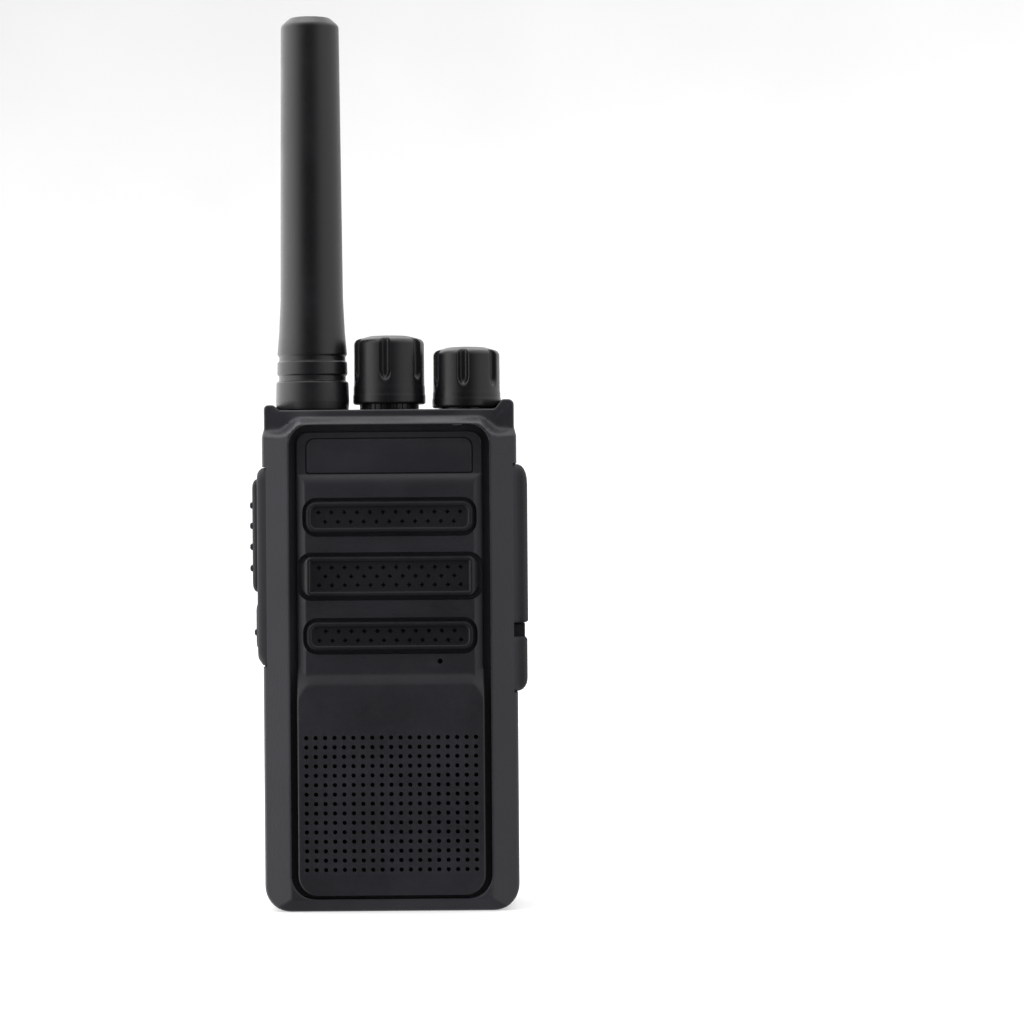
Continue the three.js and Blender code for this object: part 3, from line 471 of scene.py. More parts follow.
def circuit_board():
    """Green solder mask over copper tracks that run both ways, with speckled glass weave."""
    recipe = Recipe("circuit_board")
    tracks = []
    for stretch in ((1.0, 1.0, 0.12), (0.12, 1.0, 1.0)):
        tracks.append(recipe.ranged(recipe.noise(1.1, 0.0, stretch), 0.53, 0.56))
    copper = recipe.combine("MAXIMUM", *tracks)
    weave = recipe.noise(0.35, 2.0)
    mask = recipe.blend(recipe.ranged(weave, 0.3, 0.7), (0.012, 0.075, 0.03), (0.02, 0.11, 0.045))
    recipe.feed("Base Color", recipe.blend(copper, mask, (0.05, 0.22, 0.07)))
    recipe.feed("Roughness", recipe.ranged(weave, 0.3, 0.7, 0.28, 0.4))
    recipe.bump((copper, 0.03), (weave, 0.01))
    return recipe.material


def woven(name, colour, thread_mm, depth_mm):
    """Felt or doped paper: matted fibres."""
    recipe = Recipe(name)
    fibre = recipe.noise(thread_mm, 6.0)
    patch = recipe.noise(4.0, 3.0)
    lighter = tuple(c * 1.9 for c in colour)
    tone = recipe.blend(recipe.ranged(fibre, 0.35, 0.7), colour, lighter)
    recipe.feed("Base Color", tone)
    recipe.feed("Roughness", recipe.ranged(patch, 0.3, 0.7, 0.82, 0.98))
    recipe.feed("Sheen Weight", 0.3)
    recipe.bump((fibre, depth_mm))
    return recipe.material


def cell_wrap():
    """Blue shrink film: gloss with soft wrinkles, paler at the edges of each end."""
    recipe = Recipe("cell_wrap")
    wrinkle = recipe.noise(5.0, 2.0, (1.0, 1.0, 0.25))
    speck = recipe.noise(0.8, 4.0)
    tone = recipe.blend(recipe.ranged(wrinkle, 0.3, 0.7), (0.03, 0.10, 0.26), (0.05, 0.15, 0.36))
    ends = recipe.combine("MULTIPLY", recipe.edges(), 0.5)
    recipe.feed("Base Color", recipe.blend(ends, tone, (0.25, 0.36, 0.5)))
    recipe.feed("Roughness", recipe.ranged(speck, 0.3, 0.7, 0.22, 0.36))
    recipe.bump((wrinkle, 0.08))
    return recipe.material


def light_pipe():
    """Smoky clear plastic with fine frosting."""
    recipe = Recipe("light_pipe")
    frost = recipe.noise(0.3, 3.0)
    cloud = recipe.noise(2.0, 2.0)
    tone = recipe.blend(recipe.ranged(cloud, 0.3, 0.7), (0.16, 0.17, 0.17), (0.26, 0.27, 0.26))
    recipe.feed("Base Color", tone)
    recipe.feed("Roughness", recipe.ranged(frost, 0.3, 0.7, 0.18, 0.32))
    recipe.feed("Coat Weight", 0.5)
    recipe.bump((frost, 0.01))
    return recipe.material


PLASTICS = {  # colour, roughness, grain size and depth in millimetres, specular, wear at the edges
    "housing_plastic": ((0.0208, 0.0203, 0.0262), 0.47, 0.42, 0.03, 0.5, 0.25),
    "panel_plastic": ((0.0151, 0.0147, 0.0195), 0.46, 0.3, 0.018, 0.45, 0.2),
    "trim_plastic": ((0.0062, 0.006, 0.0084), 0.46, 0.3, 0.014, 0.35, 0.2),
    "gloss_black": ((0.0195, 0.0192, 0.0245), 0.42, 0.25, 0.006, 0.4, 0.15),
    "knob_plastic": ((0.0075, 0.0074, 0.009), 0.33, 0.3, 0.008, 0.4, 0.3),
    "side_rubber": ((0.0188, 0.0186, 0.0215), 0.7, 0.5, 0.03, 0.22, 0.35),
    "aerial_rubber": ((0.005, 0.0049, 0.0064), 0.38, 0.35, 0.012, 0.5, 0.25),
    "cast_aluminium": ((0.0235, 0.0232, 0.0265), 0.5, 0.6, 0.04, 0.6, 0.5),
}
MATERIALS = {name: plastic(name, *look) for name, look in PLASTICS.items()}
MATERIALS.update({
    "bare_metal": metal("bare_metal", (0.52, 0.53, 0.55), 0.3),
    "gold_brass": metal("gold_brass", (0.72, 0.52, 0.22), 0.24),
    "circuit_board": circuit_board(),
    "felt": woven("felt", (0.007, 0.007, 0.007), 0.25, 0.08),
    "speaker_paper": woven("speaker_paper", (0.02, 0.018, 0.016), 0.4, 0.05),
    "cell_wrap": cell_wrap(),
    "light_pipe": light_pipe(),
})
FINISH_OF = {bar: "trim_plastic" for bar in ("upper_trim_bar", "middle_trim_bar", "lower_trim_bar")}


def dressed(obj, node):
    """Names a new piece, gives it its node's material and body, and hides the node it stands for."""
    obj.name = obj.data.name = node + "_look"
    obj.data.materials.append(MATERIALS[FINISH_OF.get(node, SLOT_OF[node])])
    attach(obj, BODY_OF[node])
    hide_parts(node)


# ---------- front housing
INNER_HALF = PANEL_HALF + GROOVE
INNER_BOTTOM = PANEL_BOTTOM - LOWER_GROOVE
INNER_TOP = PANEL_TOP + GROOVE
INNER_LOWER_RADIUS = 5.0
INNER_UPPER_RADIUS = 4.3


def body_silhouette():
    """Front outline: round foot corners, a raised tower at the right, a small lip at the left."""
    return subdivided(filleted([
        (-HALF, 0, FOOT_RADIUS), (HALF, 0, FOOT_RADIUS), (HALF, SHOULDER_Z, 3), (CAP_HALF, CAP_START_Z, 3),
        (CAP_HALF, TOWER_TOP, 1.2), (23.6, TOWER_TOP, 0.9), (22.1, BODY_TOP, 0.9), (-22.9, BODY_TOP, 0.7),
        (-24.2, LIP_TOP, 0.5), (-CAP_HALF, LIP_TOP, 0.9), (-CAP_HALF, CAP_START_Z, 3),
        (-HALF, SHOULDER_Z, 3),
    ], 9), 0.8)


def opening_point(x, z):
    """The point of the panel opening's outline that lies straight inwards of a silhouette point."""
    lower = z < INNER_BOTTOM + INNER_LOWER_RADIUS
    radius = INNER_LOWER_RADIUS if lower else INNER_UPPER_RADIUS
    corner_x = INNER_HALF - radius
    corner_z = INNER_BOTTOM + radius if lower else INNER_TOP - radius
    if abs(x) <= corner_x:
        return x, INNER_BOTTOM if lower else INNER_TOP
    if INNER_BOTTOM + INNER_LOWER_RADIUS <= z <= INNER_TOP - INNER_UPPER_RADIUS:
        return math.copysign(INNER_HALF, x), z
    side = math.copysign(1, x)
    angle = math.atan2(z - corner_z, abs(x) - corner_x)
    return side * (corner_x + radius * math.cos(angle)), corner_z + radius * math.sin(angle)


def bezel_top_at(x):
    """Height of the bezel's upper edge: level in the middle, an S-curve down at each shoulder."""
    return BEZEL_TOP - BEZEL_DROP * ease((np.abs(x) - SHOULDER_START) / SHOULDER_RUN)


def housing_front(x, z, edge, lip):
    """Depth of the housing's front surface; edge and lip are distances to its outer and inner rims."""
    slant = BEZEL_SLANT * np.maximum(np.abs(x) - BEZEL_CREST_HALF, 0)
    bezel = FRONT_Y + np.maximum(slant, FOOT_SLANT * np.maximum(INNER_BOTTOM - z, 0))
    bezel = bezel + roundover(HALF - np.abs(x), BEZEL_SIDE_RADIUS)
    crown = CAP_CROWN * (1 - ease((np.abs(x) - 13) / 9))
    cap = np.maximum(bezel, CAP_FRONT_Y - crown)
    share = np.clip((np.abs(x) - SHOULDER_START) / SHOULDER_RUN, 0, 1)
    slope = 6 * BEZEL_DROP / SHOULDER_RUN * share * (1 - share)
    above = (z - bezel_top_at(x)) / np.sqrt(1 + slope * slope)
    step = ease(above / STEP_WIDTH + 0.9)
    surface = bezel + (cap - bezel) * step
    return surface + roundover(edge, OUTER_EDGE) + roundover(lip, LIP_EDGE)


def housing_skin():
    """The housing's skin: out over the bezel, back along the sides, round the rim and in again."""
    outer = np.array(body_silhouette())
    inner = np.array([opening_point(x, z) for x, z in outer])
    shares = [0.0, 0.012, 0.03] + [math.sin(math.pi / 2 * k / 26) for k in range(1, 27)]
    reach = np.linalg.norm(outer - inner, axis=1)
    loops = [[(x, SEAT_Y, z) for x, z in inner]]
    for share in shares:
        line = inner + (outer - inner) * share
        edge = distance_to_outline(line, outer) if share < 1 else np.zeros(len(line))
        depth = housing_front(line[:, 0], line[:, 1], edge, share * reach)
        loops.append([(x, y, z) for (x, z), y in zip(line, depth)])
    rim = np.array([point[1] for point in loops[-1]])
    for share in (0.15, 0.4, 0.7):
        loops.append([(x, y + (PARTING_Y - 0.3 - y) * share, z) for (x, z), y in zip(outer, rim)])
    middle_z = BODY_TOP / 2
    shrink = np.array([1 - WALL / HALF, 1 - WALL / middle_z])
    wall = (outer - (0, middle_z)) * shrink + (0, middle_z)
    lip = (outer - (0, middle_z)) * (1 - (1 - shrink) * 0.14) + (0, middle_z)
    for line, depth in ((outer, PARTING_Y - 0.3), (lip, PARTING_Y), (wall, PARTING_Y), (wall, -12.3)):
        loops.append([(x, depth, z) for x, z in line])
    return lofted(loops, 40)


def front_housing():
    obj = housing_skin()
    rebate = (-20, SIDE_PART_DEPTHS[1] + 0.05)
    key_heights = (CARRIER_HEIGHTS[0] - 0.1, CARRIER_HEIGHTS[1] + 0.1)
    cover_heights = (ANCHOR_HEIGHTS[0] - 0.1, COVER_HEIGHTS[1] + 0.1)
    drilled(obj, [slab("side", rebate, key_heights, 2.65, (-30, -REBATE_HALF)),
                  slab("side", rebate, cover_heights, 2.45, (REBATE_HALF, 30))], 40)
    holes = [
        slab("side", (CONTROL_Y - 5, CONTROL_Y + 5), KEY_WINDOW_HEIGHTS, 1, (-30, -22)),
        slab("side", (CONTROL_Y - 4.6, CONTROL_Y + 4.6), JACK_WINDOW_HEIGHTS, 1, (22, 30)),
        slab("front", (13.2, 15.2), (101.0, 101.6), 0.1, (-15, -11)),  # the light's slot
        slab("front", (-8.3, 8.3), (-1, 2.8), 0.2, (-3.5, 5)),  # the latch's notch
        rod(SOCKET_HOLE_RADIUS, (100, 110), (CHANNEL_X, CONTROL_Y, 0)),
    ]
    seat_z = BODY_TOP + 0.1
    for x, seat in ((AERIAL_X, AERIAL_SEAT_RADIUS), (VOLUME_X, VOLUME_SEAT_RADIUS)):
        profile = [(0, 100), (SOCKET_HOLE_RADIUS, 100), (SOCKET_HOLE_RADIUS, seat_z), (seat, seat_z),
                   (seat, 110), (0, 110)]
        holes.append(turned(profile, (x, CONTROL_Y, 0)))
    drilled(obj, holes, 40)
    dressed(obj, "front_housing")


# ---------- front panel
BARS = [
    {"node": "upper_trim_bar", "half": 17.4, "bottom": 78.8, "top": 85.4,
     "pits": [(83.1, 12, -14.74), (81.1, 11, -13.4)]},
    {"node": "middle_trim_bar", "half": 18.6, "bottom": 65.5, "top": 74.0,
     "pits": [(71.6, 12, -14.74), (69.75, 11, -13.4), (67.9, 12, -14.74)]},
    {"node": "lower_trim_bar", "half": 17.4, "bottom": 54.3, "top": 60.4,
     "pits": [(58.4, 11, -13.4), (56.4, 12, -14.74)]},
]
BAR_CORNER = 2.2
BAR_CLEARANCE = 0.75
BAR_RIM = 1.15
PIT_PITCH = 2.68
PIT_RADIUS = 0.66
GRILLE_ROWS = 15
GRILLE_COLUMNS = 19
GRILLE_PITCH = 1.96
GRILLE_BOTTOM_ROW = 8.8
GRILLE_RADIUS = 0.46
PLATE = {"half": 17.2, "bottom": 91.3, "top": 98.4}


def panel_front(x, z, edge):
    """Depth of the panel's front: grille zone foremost, bars behind it, name plate deepest."""
    across = np.abs(x)
    side_bevel = np.maximum(across - (PANEL_HALF - 1.9), 0) * math.tan(math.radians(31))
    roll = np.clip((z - 88.1) / 2.9, 0, 1)
    bars = np.maximum(BAR_ZONE_Y + side_bevel, BAR_ZONE_Y + (PLATE_ZONE_Y - BAR_ZONE_Y) * roll ** 3.0)
    a = across - 21.5 + 2.2 * ease((z - 43.5) / 5)  # drawn in towards its rounded upper corners
    b = z - 49.4
    corner = 3.0
    outside = np.hypot(np.maximum(a + corner, 0), np.maximum(b + corner, 0))
    signed = outside + np.minimum(np.maximum(a + corner, b + corner), 0) - corner
    grille = GRILLE_ZONE_Y + 0.3 * np.maximum(signed + 2.27, 0) ** 1.2
    soft = 0.12
    gap = np.clip(0.5 + 0.5 * (grille - bars) / soft, 0, 1)
    surface = grille * (1 - gap) + bars * gap - soft * gap * (1 - gap)
    return surface + roundover(edge, 0.35)


def panel_rows():
    """Heights of the panel's rows of points, closer together where its front steps."""
    quarter = [math.pi / 2 * k / 9 for k in range(10)]
    rows = [PANEL_BOTTOM + PANEL_LOWER_RADIUS * (1 - math.cos(t)) for t in quarter]
    rows += list(np.arange(8.0, 43.1, 2.0)) + list(np.arange(43.5, 50.6, 0.22))
    rows += list(np.arange(51.5, 87.6, 2.0)) + list(np.arange(88.1, 91.9, 0.15))
    rows += list(np.arange(92.7, 96.8, 1.0))
    rows += [PANEL_TOP - PANEL_UPPER_RADIUS * (1 - math.cos(t)) for t in reversed(quarter)]
    return rows


def panel_half_at(z):
    """Half the panel's width at a height, less at its rounded corners."""
    for radius, rise in ((PANEL_LOWER_RADIUS, z - PANEL_BOTTOM), (PANEL_UPPER_RADIUS, PANEL_TOP - z)):
        if rise < radius:
            return PANEL_HALF - radius + math.sqrt(max(radius ** 2 - (radius - rise) ** 2, 0))
    return PANEL_HALF


def panel_blank():
    """The panel before its holes: a grid over the front, an upright edge and a flat back."""
    insets = [0, 0.05, 0.12, 0.22, 0.35, 0.6, 0.9, 1.2, 1.5, 1.75, 1.95, 2.2, 2.7, 3.3, 4.2, 6, 9, 13,
              PANEL_HALF]
    shares = [-(1 - inset / PANEL_HALF) for inset in insets]
    shares += [-share for share in reversed(shares[:-1])]
    rows = panel_rows()
    outline = rounded_rectangle(-PANEL_HALF, PANEL_HALF, PANEL_BOTTOM, PANEL_TOP,
                                PANEL_LOWER_RADIUS, PANEL_UPPER_RADIUS, 16)
    flat = np.array([(panel_half_at(z) * share, z) for z in rows for share in shares])
    depth = panel_front(flat[:, 0], flat[:, 1], distance_to_outline(flat, outline))
    points = [(x, y, z) for (x, z), y in zip(flat, depth)]
    width = len(shares)
    faces = []
    for row in range(len(rows) - 1):
        for column in range(width - 1):
            corner = row * width + column
            faces.append((corner, corner + 1, corner + width + 1, corner + width))
    last = (len(rows) - 1) * width
    border = list(range(width)) + [row * width + width - 1 for row in range(1, len(rows))]
    border += list(range(last + width - 2, last - 1, -1))
    border += [row * width for row in range(len(rows) - 2, 0, -1)]
    start = len(points)
    points += [(points[i][0], SEAT_Y - 0.1, points[i][2]) for i in border]
    for k in range(len(border)):
        following = (k + 1) % len(border)
        faces.append((border[k], border[following], start + following, start + k))
    faces.append(tuple(range(start, len(points))))
    return mesh_object(points, faces, 30)


def sound_holes():
    """The grille in front of the speaker."""
    holes = []
    for row in range(GRILLE_ROWS):
        for column in range(GRILLE_COLUMNS):
            x = (column - (GRILLE_COLUMNS - 1) / 2) * GRILLE_PITCH
            z = GRILLE_BOTTOM_ROW + row * GRILLE_PITCH
            holes.append(rod(GRILLE_RADIUS, (-18, -13), (x, 0, z), "front", 12))
    return holes


def front_panel():
    cutters = sound_holes()
    cutters.append(rod(0.55, (-18, -13), (10.3, 0, 52.0), "front", 20))
    for bar in BARS:
        reach = bar["half"] + BAR_CLEARANCE
        heights = (bar["bottom"] - BAR_CLEARANCE, bar["top"] + BAR_CLEARANCE)
        cutters.append(slab("front", (-reach, reach), heights, BAR_CORNER + BAR_CLEARANCE,
                            (-18, -14.6)))
    recess = rounded_rectangle(-PLATE["half"] - 0.25, PLATE["half"] + 0.25, PLATE["bottom"] - 0.25,
                               PLATE["top"] + 0.25, 0.7, 2.0)
    cutters.append(prism("front", recess, (-18, PLATE_ZONE_Y + 0.5)))
    dressed(drilled(panel_blank(), cutters, 30), "front_panel")


def name_plate():
    back = PLATE_ZONE_Y + 0.45
    front = PLATE_ZONE_Y + 0.02
    profile = [(0, back), (0, front + 0.12), (0.06, front + 0.03), (0.15, front)]
    plate = stacked("front", (-PLATE["half"], PLATE["half"]),
                    (PLATE["bottom"], PLATE["top"]), (0.5, 1.8), profile)
    dressed(plate, "name_plate")


def trim_bar(bar):
    """A raised rim round a sunken floor that carries rows of small diamond pits."""
    slant = 1.0 if bar["node"] == "middle_trim_bar" else 0.0
    inner = BAR_RIM + slant
    profile = [
        (0, -14.7), (0, -16.0 + 0.6 * slant), (0.05 + slant * 0.7, 0.06, 0.06, -16.3),
        (0.16 + slant * 0.9, 0.18, 0.18, -16.6), (0.34 + slant, 0.36, 0.36, -16.82),
        (0.56 + slant, 0.58, 0.58, BAR_FRONT_Y), (inner - 0.3, BAR_RIM - 0.3, BAR_RIM - 0.3, -16.86),
        (inner - 0.1, BAR_RIM - 0.1, BAR_RIM - 0.1, -16.72),
        (inner, BAR_RIM, BAR_RIM, -16.4), (inner + 0.1, BAR_RIM + 0.1, BAR_RIM + 0.1, -16.22),
        (inner + 0.3, BAR_RIM + 0.3, BAR_RIM + 0.3, -16.18),
    ]
    body = stacked("front", (-bar["half"], bar["half"]),
                   (bar["bottom"], bar["top"]), (BAR_CORNER, BAR_CORNER), profile)
    pits = []
    for height, count, first in bar["pits"]:
        for i in range(count):
            centre = (first + i * PIT_PITCH, 0, height)
            cone = [(0, -15.5), (PIT_RADIUS, -16.25), (PIT_RADIUS, -17.2), (0, -17.2)]
            pits.append(turned(cone, centre, "front", 4))
    dressed(drilled(body, pits, 30), bar["node"])


# ---------- aerial
def aerial():
    body = [
        (7.75, 106.4, 0.6), (7.62, 110.5, 0.5), (7.05, 110.85, 0.25), (7.05, 111.85, 0.25),
        (7.42, 112.2, 0.4), (7.36, 114.7, 0.4), (7.0, 115.05, 0.25), (7.0, 115.95, 0.25),
        (7.36, 116.4, 0.6), (6.95, 121, 20), (6.6, 128, 30), (6.46, 145, 60), (6.12, 185.7, 1.4),
        (4.2, 187.4, 0.8),
    ]
    profile = [(0, 181), (1.3, 181), (1.3, 113.4), (2.6, 113.4), (2.6, 108.4), (4.9, 108.4),
               (4.9, 104.55), (7.2, 104.55)]
    profile += open_filleted([(7.6, 104.85, 0)] + body + [(0, 187.4, 0)], 6)
    dressed(turned(profile, (AERIAL_X, CONTROL_Y, 0), segments=96),
            "aerial_sheath")


# ---------- knobs
KNOBS = {
    "channel_knob": {"x": CHANNEL_X, "skirt": (6.36, 106.14), "bottom": 105.8, "shoulder": 119.3,
                     "crown": 120.4, "lower_radius": 7.65, "upper_radius": 7.4, "notch_bottom": 110.6},
    "volume_knob": {"x": VOLUME_X, "skirt": (5.9, 104.62), "bottom": 104.95, "shoulder": 116.8,
                    "crown": 117.9, "lower_radius": 7.25, "upper_radius": 7.0, "notch_bottom": 109.4},
}


def knob(node, x, skirt, bottom, shoulder, crown, lower_radius, upper_radius, notch_bottom):
    """A tapered cap with six round-ended finger notches that run out over its crown. Within the
    skirt's radius the underside lies at the skirt's height, to hide the bush or clear the collar."""
    notch_depth = 1.05
    notch_half = 1.25 / lower_radius
    sixth = math.pi / 3
    offset = math.radians(24)

    def radius_at(radius, height, angle):
        if height < notch_bottom - 1.2:
            return radius
        away = (angle - offset + sixth / 2) % sixth - sixth / 2
        across = min(abs(away) / notch_half, 1)
        rise = float(ease((height - notch_bottom - 1.1 * across ** 2) / 1.2))
        depth = notch_depth * (1 - across ** 3.5) * rise
        return min(radius, upper_radius - depth + (radius - upper_radius) * 0.3)

    outline = open_filleted([
        (lower_radius - 1.2, bottom, 0), (lower_radius, bottom, 0.5), (lower_radius, bottom + 1.7, 0.5),
        (upper_radius + 0.15, bottom + 2.2, 0.5), (upper_radius, shoulder, 1.3),
        (upper_radius * 0.55, crown - 0.2, 3), (0, crown, 0),
    ], 8)
    skirt_radius, skirt_height = skirt
    ceiling = 106.15
    bore = [(0, bottom + 8), (3.3, bottom + 8), (3.3, ceiling), (4.6, ceiling), (4.6, skirt_height),
            (skirt_radius, skirt_height), (skirt_radius, bottom)]
    cap = turned(bore + subdivided(outline, 0.45, closed=False), (x, CONTROL_Y, 0),
                 segments=300, radius_at=radius_at, sharp_angle=50)
    dressed(cap, node)


def channel_collar():
    def teeth(radius, height, angle):
        if radius < 5:
            return radius
        return radius - 0.35 * float(ease(0.5 + 1.4 * math.cos(28 * angle)))

    profile = [(4.75, 104.55), (6.2, 104.55), (6.25, 105.95), (6.0, 106.05), (4.75, 106.05)]
    dressed(turned(profile, (CHANNEL_X, CONTROL_Y, 0), segments=336,
                   radius_at=teeth, ends="joined"), "channel_collar")


# ---------- side keys
KEYS = {
    "talk_key": {"bottom": 66.4, "top": 90.3, "outer": -29.0, "proud": 0.5,
                 "ribs": [84.7, 80.4, 76.0, 71.5]},
    "call_key": {"bottom": 54.0, "top": 64.6, "outer": -28.3, "proud": 0.4, "ribs": [58.0]},
}
KEY_HALF = 3.9
KEY_CORNER = 1.6


def flared(obj, full_at, slope):
    """Leans a rubber part's front edge forwards, the more the closer it is to the housing."""
    for vertex in obj.data.vertices:
        x, y = abs(vertex.co.x) / MM, vertex.co.y / MM - DEPTH_SHIFT
        if y < CONTROL_Y - 2.5 and REBATE_HALF < x < full_at:
            vertex.co.y -= slope * (full_at - x) * MM
    shade(obj.data, 35)
    return obj


def side_key_carrier():
    profile = [
        (1.1, 2.3, 1.5, -24.3), (1.1, 2.3, 1.5, -REBATE_HALF + 0.01), (0, -REBATE_HALF - 0.02),
        (0, -26.4), (0, 0.15, 0.1, -26.9), (0.12, 0.9, 0.55, -27.45), (0.4, 1.45, 1.1, -27.8),
        (0.75, 1.9, 1.6, -27.9),
    ]
    carrier = stacked("side", SIDE_PART_DEPTHS, CARRIER_HEIGHTS, (2.6, 2.6), profile)
    flared(carrier, 27.9, 0.5)
    gap = 0.35
    holes = []
    for key in KEYS.values():
        depths = (CONTROL_Y - KEY_HALF - gap, CONTROL_Y + KEY_HALF + gap)
        heights = (key["bottom"] - gap, key["top"] + gap)
        holes.append(slab("side", depths, heights, KEY_CORNER + gap, (-35, -20)))
    dressed(drilled(carrier, holes), "side_key_carrier")


def side_key(node, key):
    outer = key["outer"]
    profile = [
        (0, -24.0), (0, outer + 1.2), (0.1, 0.15, 0.15, outer + 0.75),
        (0.35, 0.5, 0.5, outer + 0.35), (0.8, 1.1, 1.1, outer + 0.1), (1.4, 1.9, 1.9, outer),
    ]
    body = stacked("side", (CONTROL_Y - KEY_HALF, CONTROL_Y + KEY_HALF),
                   (key["bottom"], key["top"]), (KEY_CORNER, KEY_CORNER), profile)
    ribs = []
    for height in key["ribs"]:
        crest = outer - key["proud"]
        rib_profile = [(0, outer + 0.6), (0, outer + 0.1), (0.1, 0.12, 0.12, crest + 0.2),
                       (0.3, crest + 0.04), (0.5, 0.45, 0.45, crest)]
        ribs.append(stacked("side", (CONTROL_Y - 3.0, CONTROL_Y + 3.0),
                            (height - 0.75, height + 0.75), (0.7, 0.7), rib_profile))
    dressed(combined(body, ribs, "UNION"), node)


# ---------- accessory cover
def accessory_cover():
    """The rubber flap over the sockets, and the anchor below that its neck ties it to."""
    foot = [(0, REBATE_HALF + 0.02), (0, 26.4)]
    profile = foot + [(0.05, 0, 0.1, 27.1), (0.3, 0, 0.4, 27.7), (0.75, 0.05, 1.0, 28.2),
                      (1.35, 0.15, 1.9, 28.6), (2.1, 0.3, 3.0, 28.82), (3.0, 0.5, 4.2, 28.9)]
    cover = stacked("side", SIDE_PART_DEPTHS, COVER_HEIGHTS, (1.2, 2.6), profile)
    dressed(flared(cover, 27.1, 1.3), "accessory_cover")
    profile = foot + [(0.05, 0.1, 0, 27.1), (0.3, 0.4, 0.05, 27.7), (0.75, 0.9, 0.15, 28.15),
                      (1.35, 1.6, 0.35, 28.5), (2.0, 2.3, 0.55, 28.66), (2.6, 2.9, 0.8, 28.7)]
    anchor = stacked("side", SIDE_PART_DEPTHS, ANCHOR_HEIGHTS, (2.4, 1.2), profile)
    neck = stacked("side", (CONTROL_Y - 4, CONTROL_Y + 4), (56, 59.5), (0.5, 0.5),
                   [(0, REBATE_HALF + 0.03), (0, 28.0), (0.2, 0, 0, 28.2)])
    flared(anchor, 27.1, 1.3)
    combined(anchor, [neck], "UNION")
    holes = [rod(radius, (start, 30), (0, CONTROL_Y, COVER_SCREW_Z), "side")
             for radius, start in ((2.3, 28.0), (1.3, 20))]
    dressed(combined(anchor, holes), "cover_anchor")


def jack_block():
    """The socket block behind the cover, with a small and a large round socket."""
    block = stacked("side", (CONTROL_Y - 4.2, CONTROL_Y + 1.4), (63.8, 88.2), (0.8, 0.8),
                    [(0, 16.0), (0, REBATE_HALF - 0.3), (0.2, REBATE_HALF - 0.1)])
    holes = [rod(radius, (17.5, 30), (0, CONTROL_Y - 1.4, z), "side")
             for z, radius in ((70, 1.3), (81.5, 1.85))]
    dressed(drilled(block, holes), "jack_block")


def pan_screw(node, centre, axis, head, shank):
    """A cross-slot screw whose head faces along the axis."""
    head_radius, head_height = head
    shank_radius, shank_length = shank
    profile = [(0, -shank_length), (shank_radius * 0.5, -shank_length),
               (shank_radius, -shank_length + 0.4)]
    for k in range(int((shank_length - 0.8) / 0.3)):
        height = -shank_length + 0.4 + 0.3 * k
        profile += [(shank_radius, height), (shank_radius * 0.86, height + 0.15)]
    profile += [(shank_radius, 0), (head_radius, 0), (head_radius, head_height * 0.55),
                (head_radius * 0.85, head_height * 0.88), (head_radius * 0.5, head_height),
                (0, head_height)]
    screw = turned(profile, centre, axis, 40)
    slots = []
    for width, length in ((0.45, head_radius * 1.25), (head_radius * 1.25, 0.45)):
        slot = slab(axis, (-width / 2, width / 2), (-length / 2, length / 2), 0,
                    (head_height * 0.45, head_height + 1))
        slot.data.transform(Matrix.Translation(Vector(centre) * MM))
        slots.append(slot)
    dressed(combined(screw, slots), node)


# ---------- rear block and battery pack
def back_corner(back):
    """Steps round the back's rounded upright corner: (share of the turn, inset sideways, depth)."""
    for k in range(9):
        angle = math.pi / 2 * k / 8
        depth = back - BACK_CORNER + BACK_CORNER * math.sin(angle)
        yield k / 8, BACK_CORNER * (1 - math.cos(angle)), depth


def chassis():
    """Black die-cast back: the sealed plate inside the housing and the rear block above the battery."""
    profile = [(0.15, BATTERY_FRONT_Y), (0, BATTERY_FRONT_Y + 0.2), (0, 10.9), (0, 0, 0.15, 11.5)]
    profile += [(side, 0.25 * share ** 3, 0.3 + 4.2 * share, depth)
                for share, side, depth in list(back_corner(BACK_Y - 1))[1:]]
    block = stacked("front", (-CAP_HALF, CAP_HALF), (REAR_BLOCK_BOTTOM, BODY_TOP),
                    (0.5, 1.2), profile)
    plate = stacked("front", (-23.65, 23.65), (2.9, 97.0), (2.9, 0.8),
                    [(0, 1.4), (0, 3.85), (0.15, 4.0)])
    flange = stacked("front", (-CAP_HALF, CAP_HALF), (0.4, 97.5), (5.1, 0.5),
                     [(0.05, 3.9), (0, 4.03), (0, 4.2), (0.05, 4.22)])
    neck = slab("front", (-23, 23), (86, 98), 1, (3.5, 5.0))
    combined(block, [plate, flange, neck], "UNION")
    holes = [
        slab("front", (-22, 22), (87, 97), 1, (0, 13)),  # the hollow
        slab("front", (-9, 9), (11.6, 20.4), 0.6, (0, 6)),  # the contacts' window
        slab("front", (-8.5, 8.5), (-1, 3.0), 0.2, (3, 6)),  # the latch's notch
    ]
    for side in (-1, 1):
        lug = side * LUG_X
        screw = (side * SCREW_X, 0, SCREW_Z)
        holes.append(slab("front", (lug - 3.5, lug + 3.5), (82, 84.7), 0.2, (11.7, 15.0)))
        holes.append(rod(1.3, (0, 4.01), screw, "front"))
        holes.append(rod(2.1, (4.0, 6), screw, "front"))
    dressed(drilled(block, holes), "chassis")


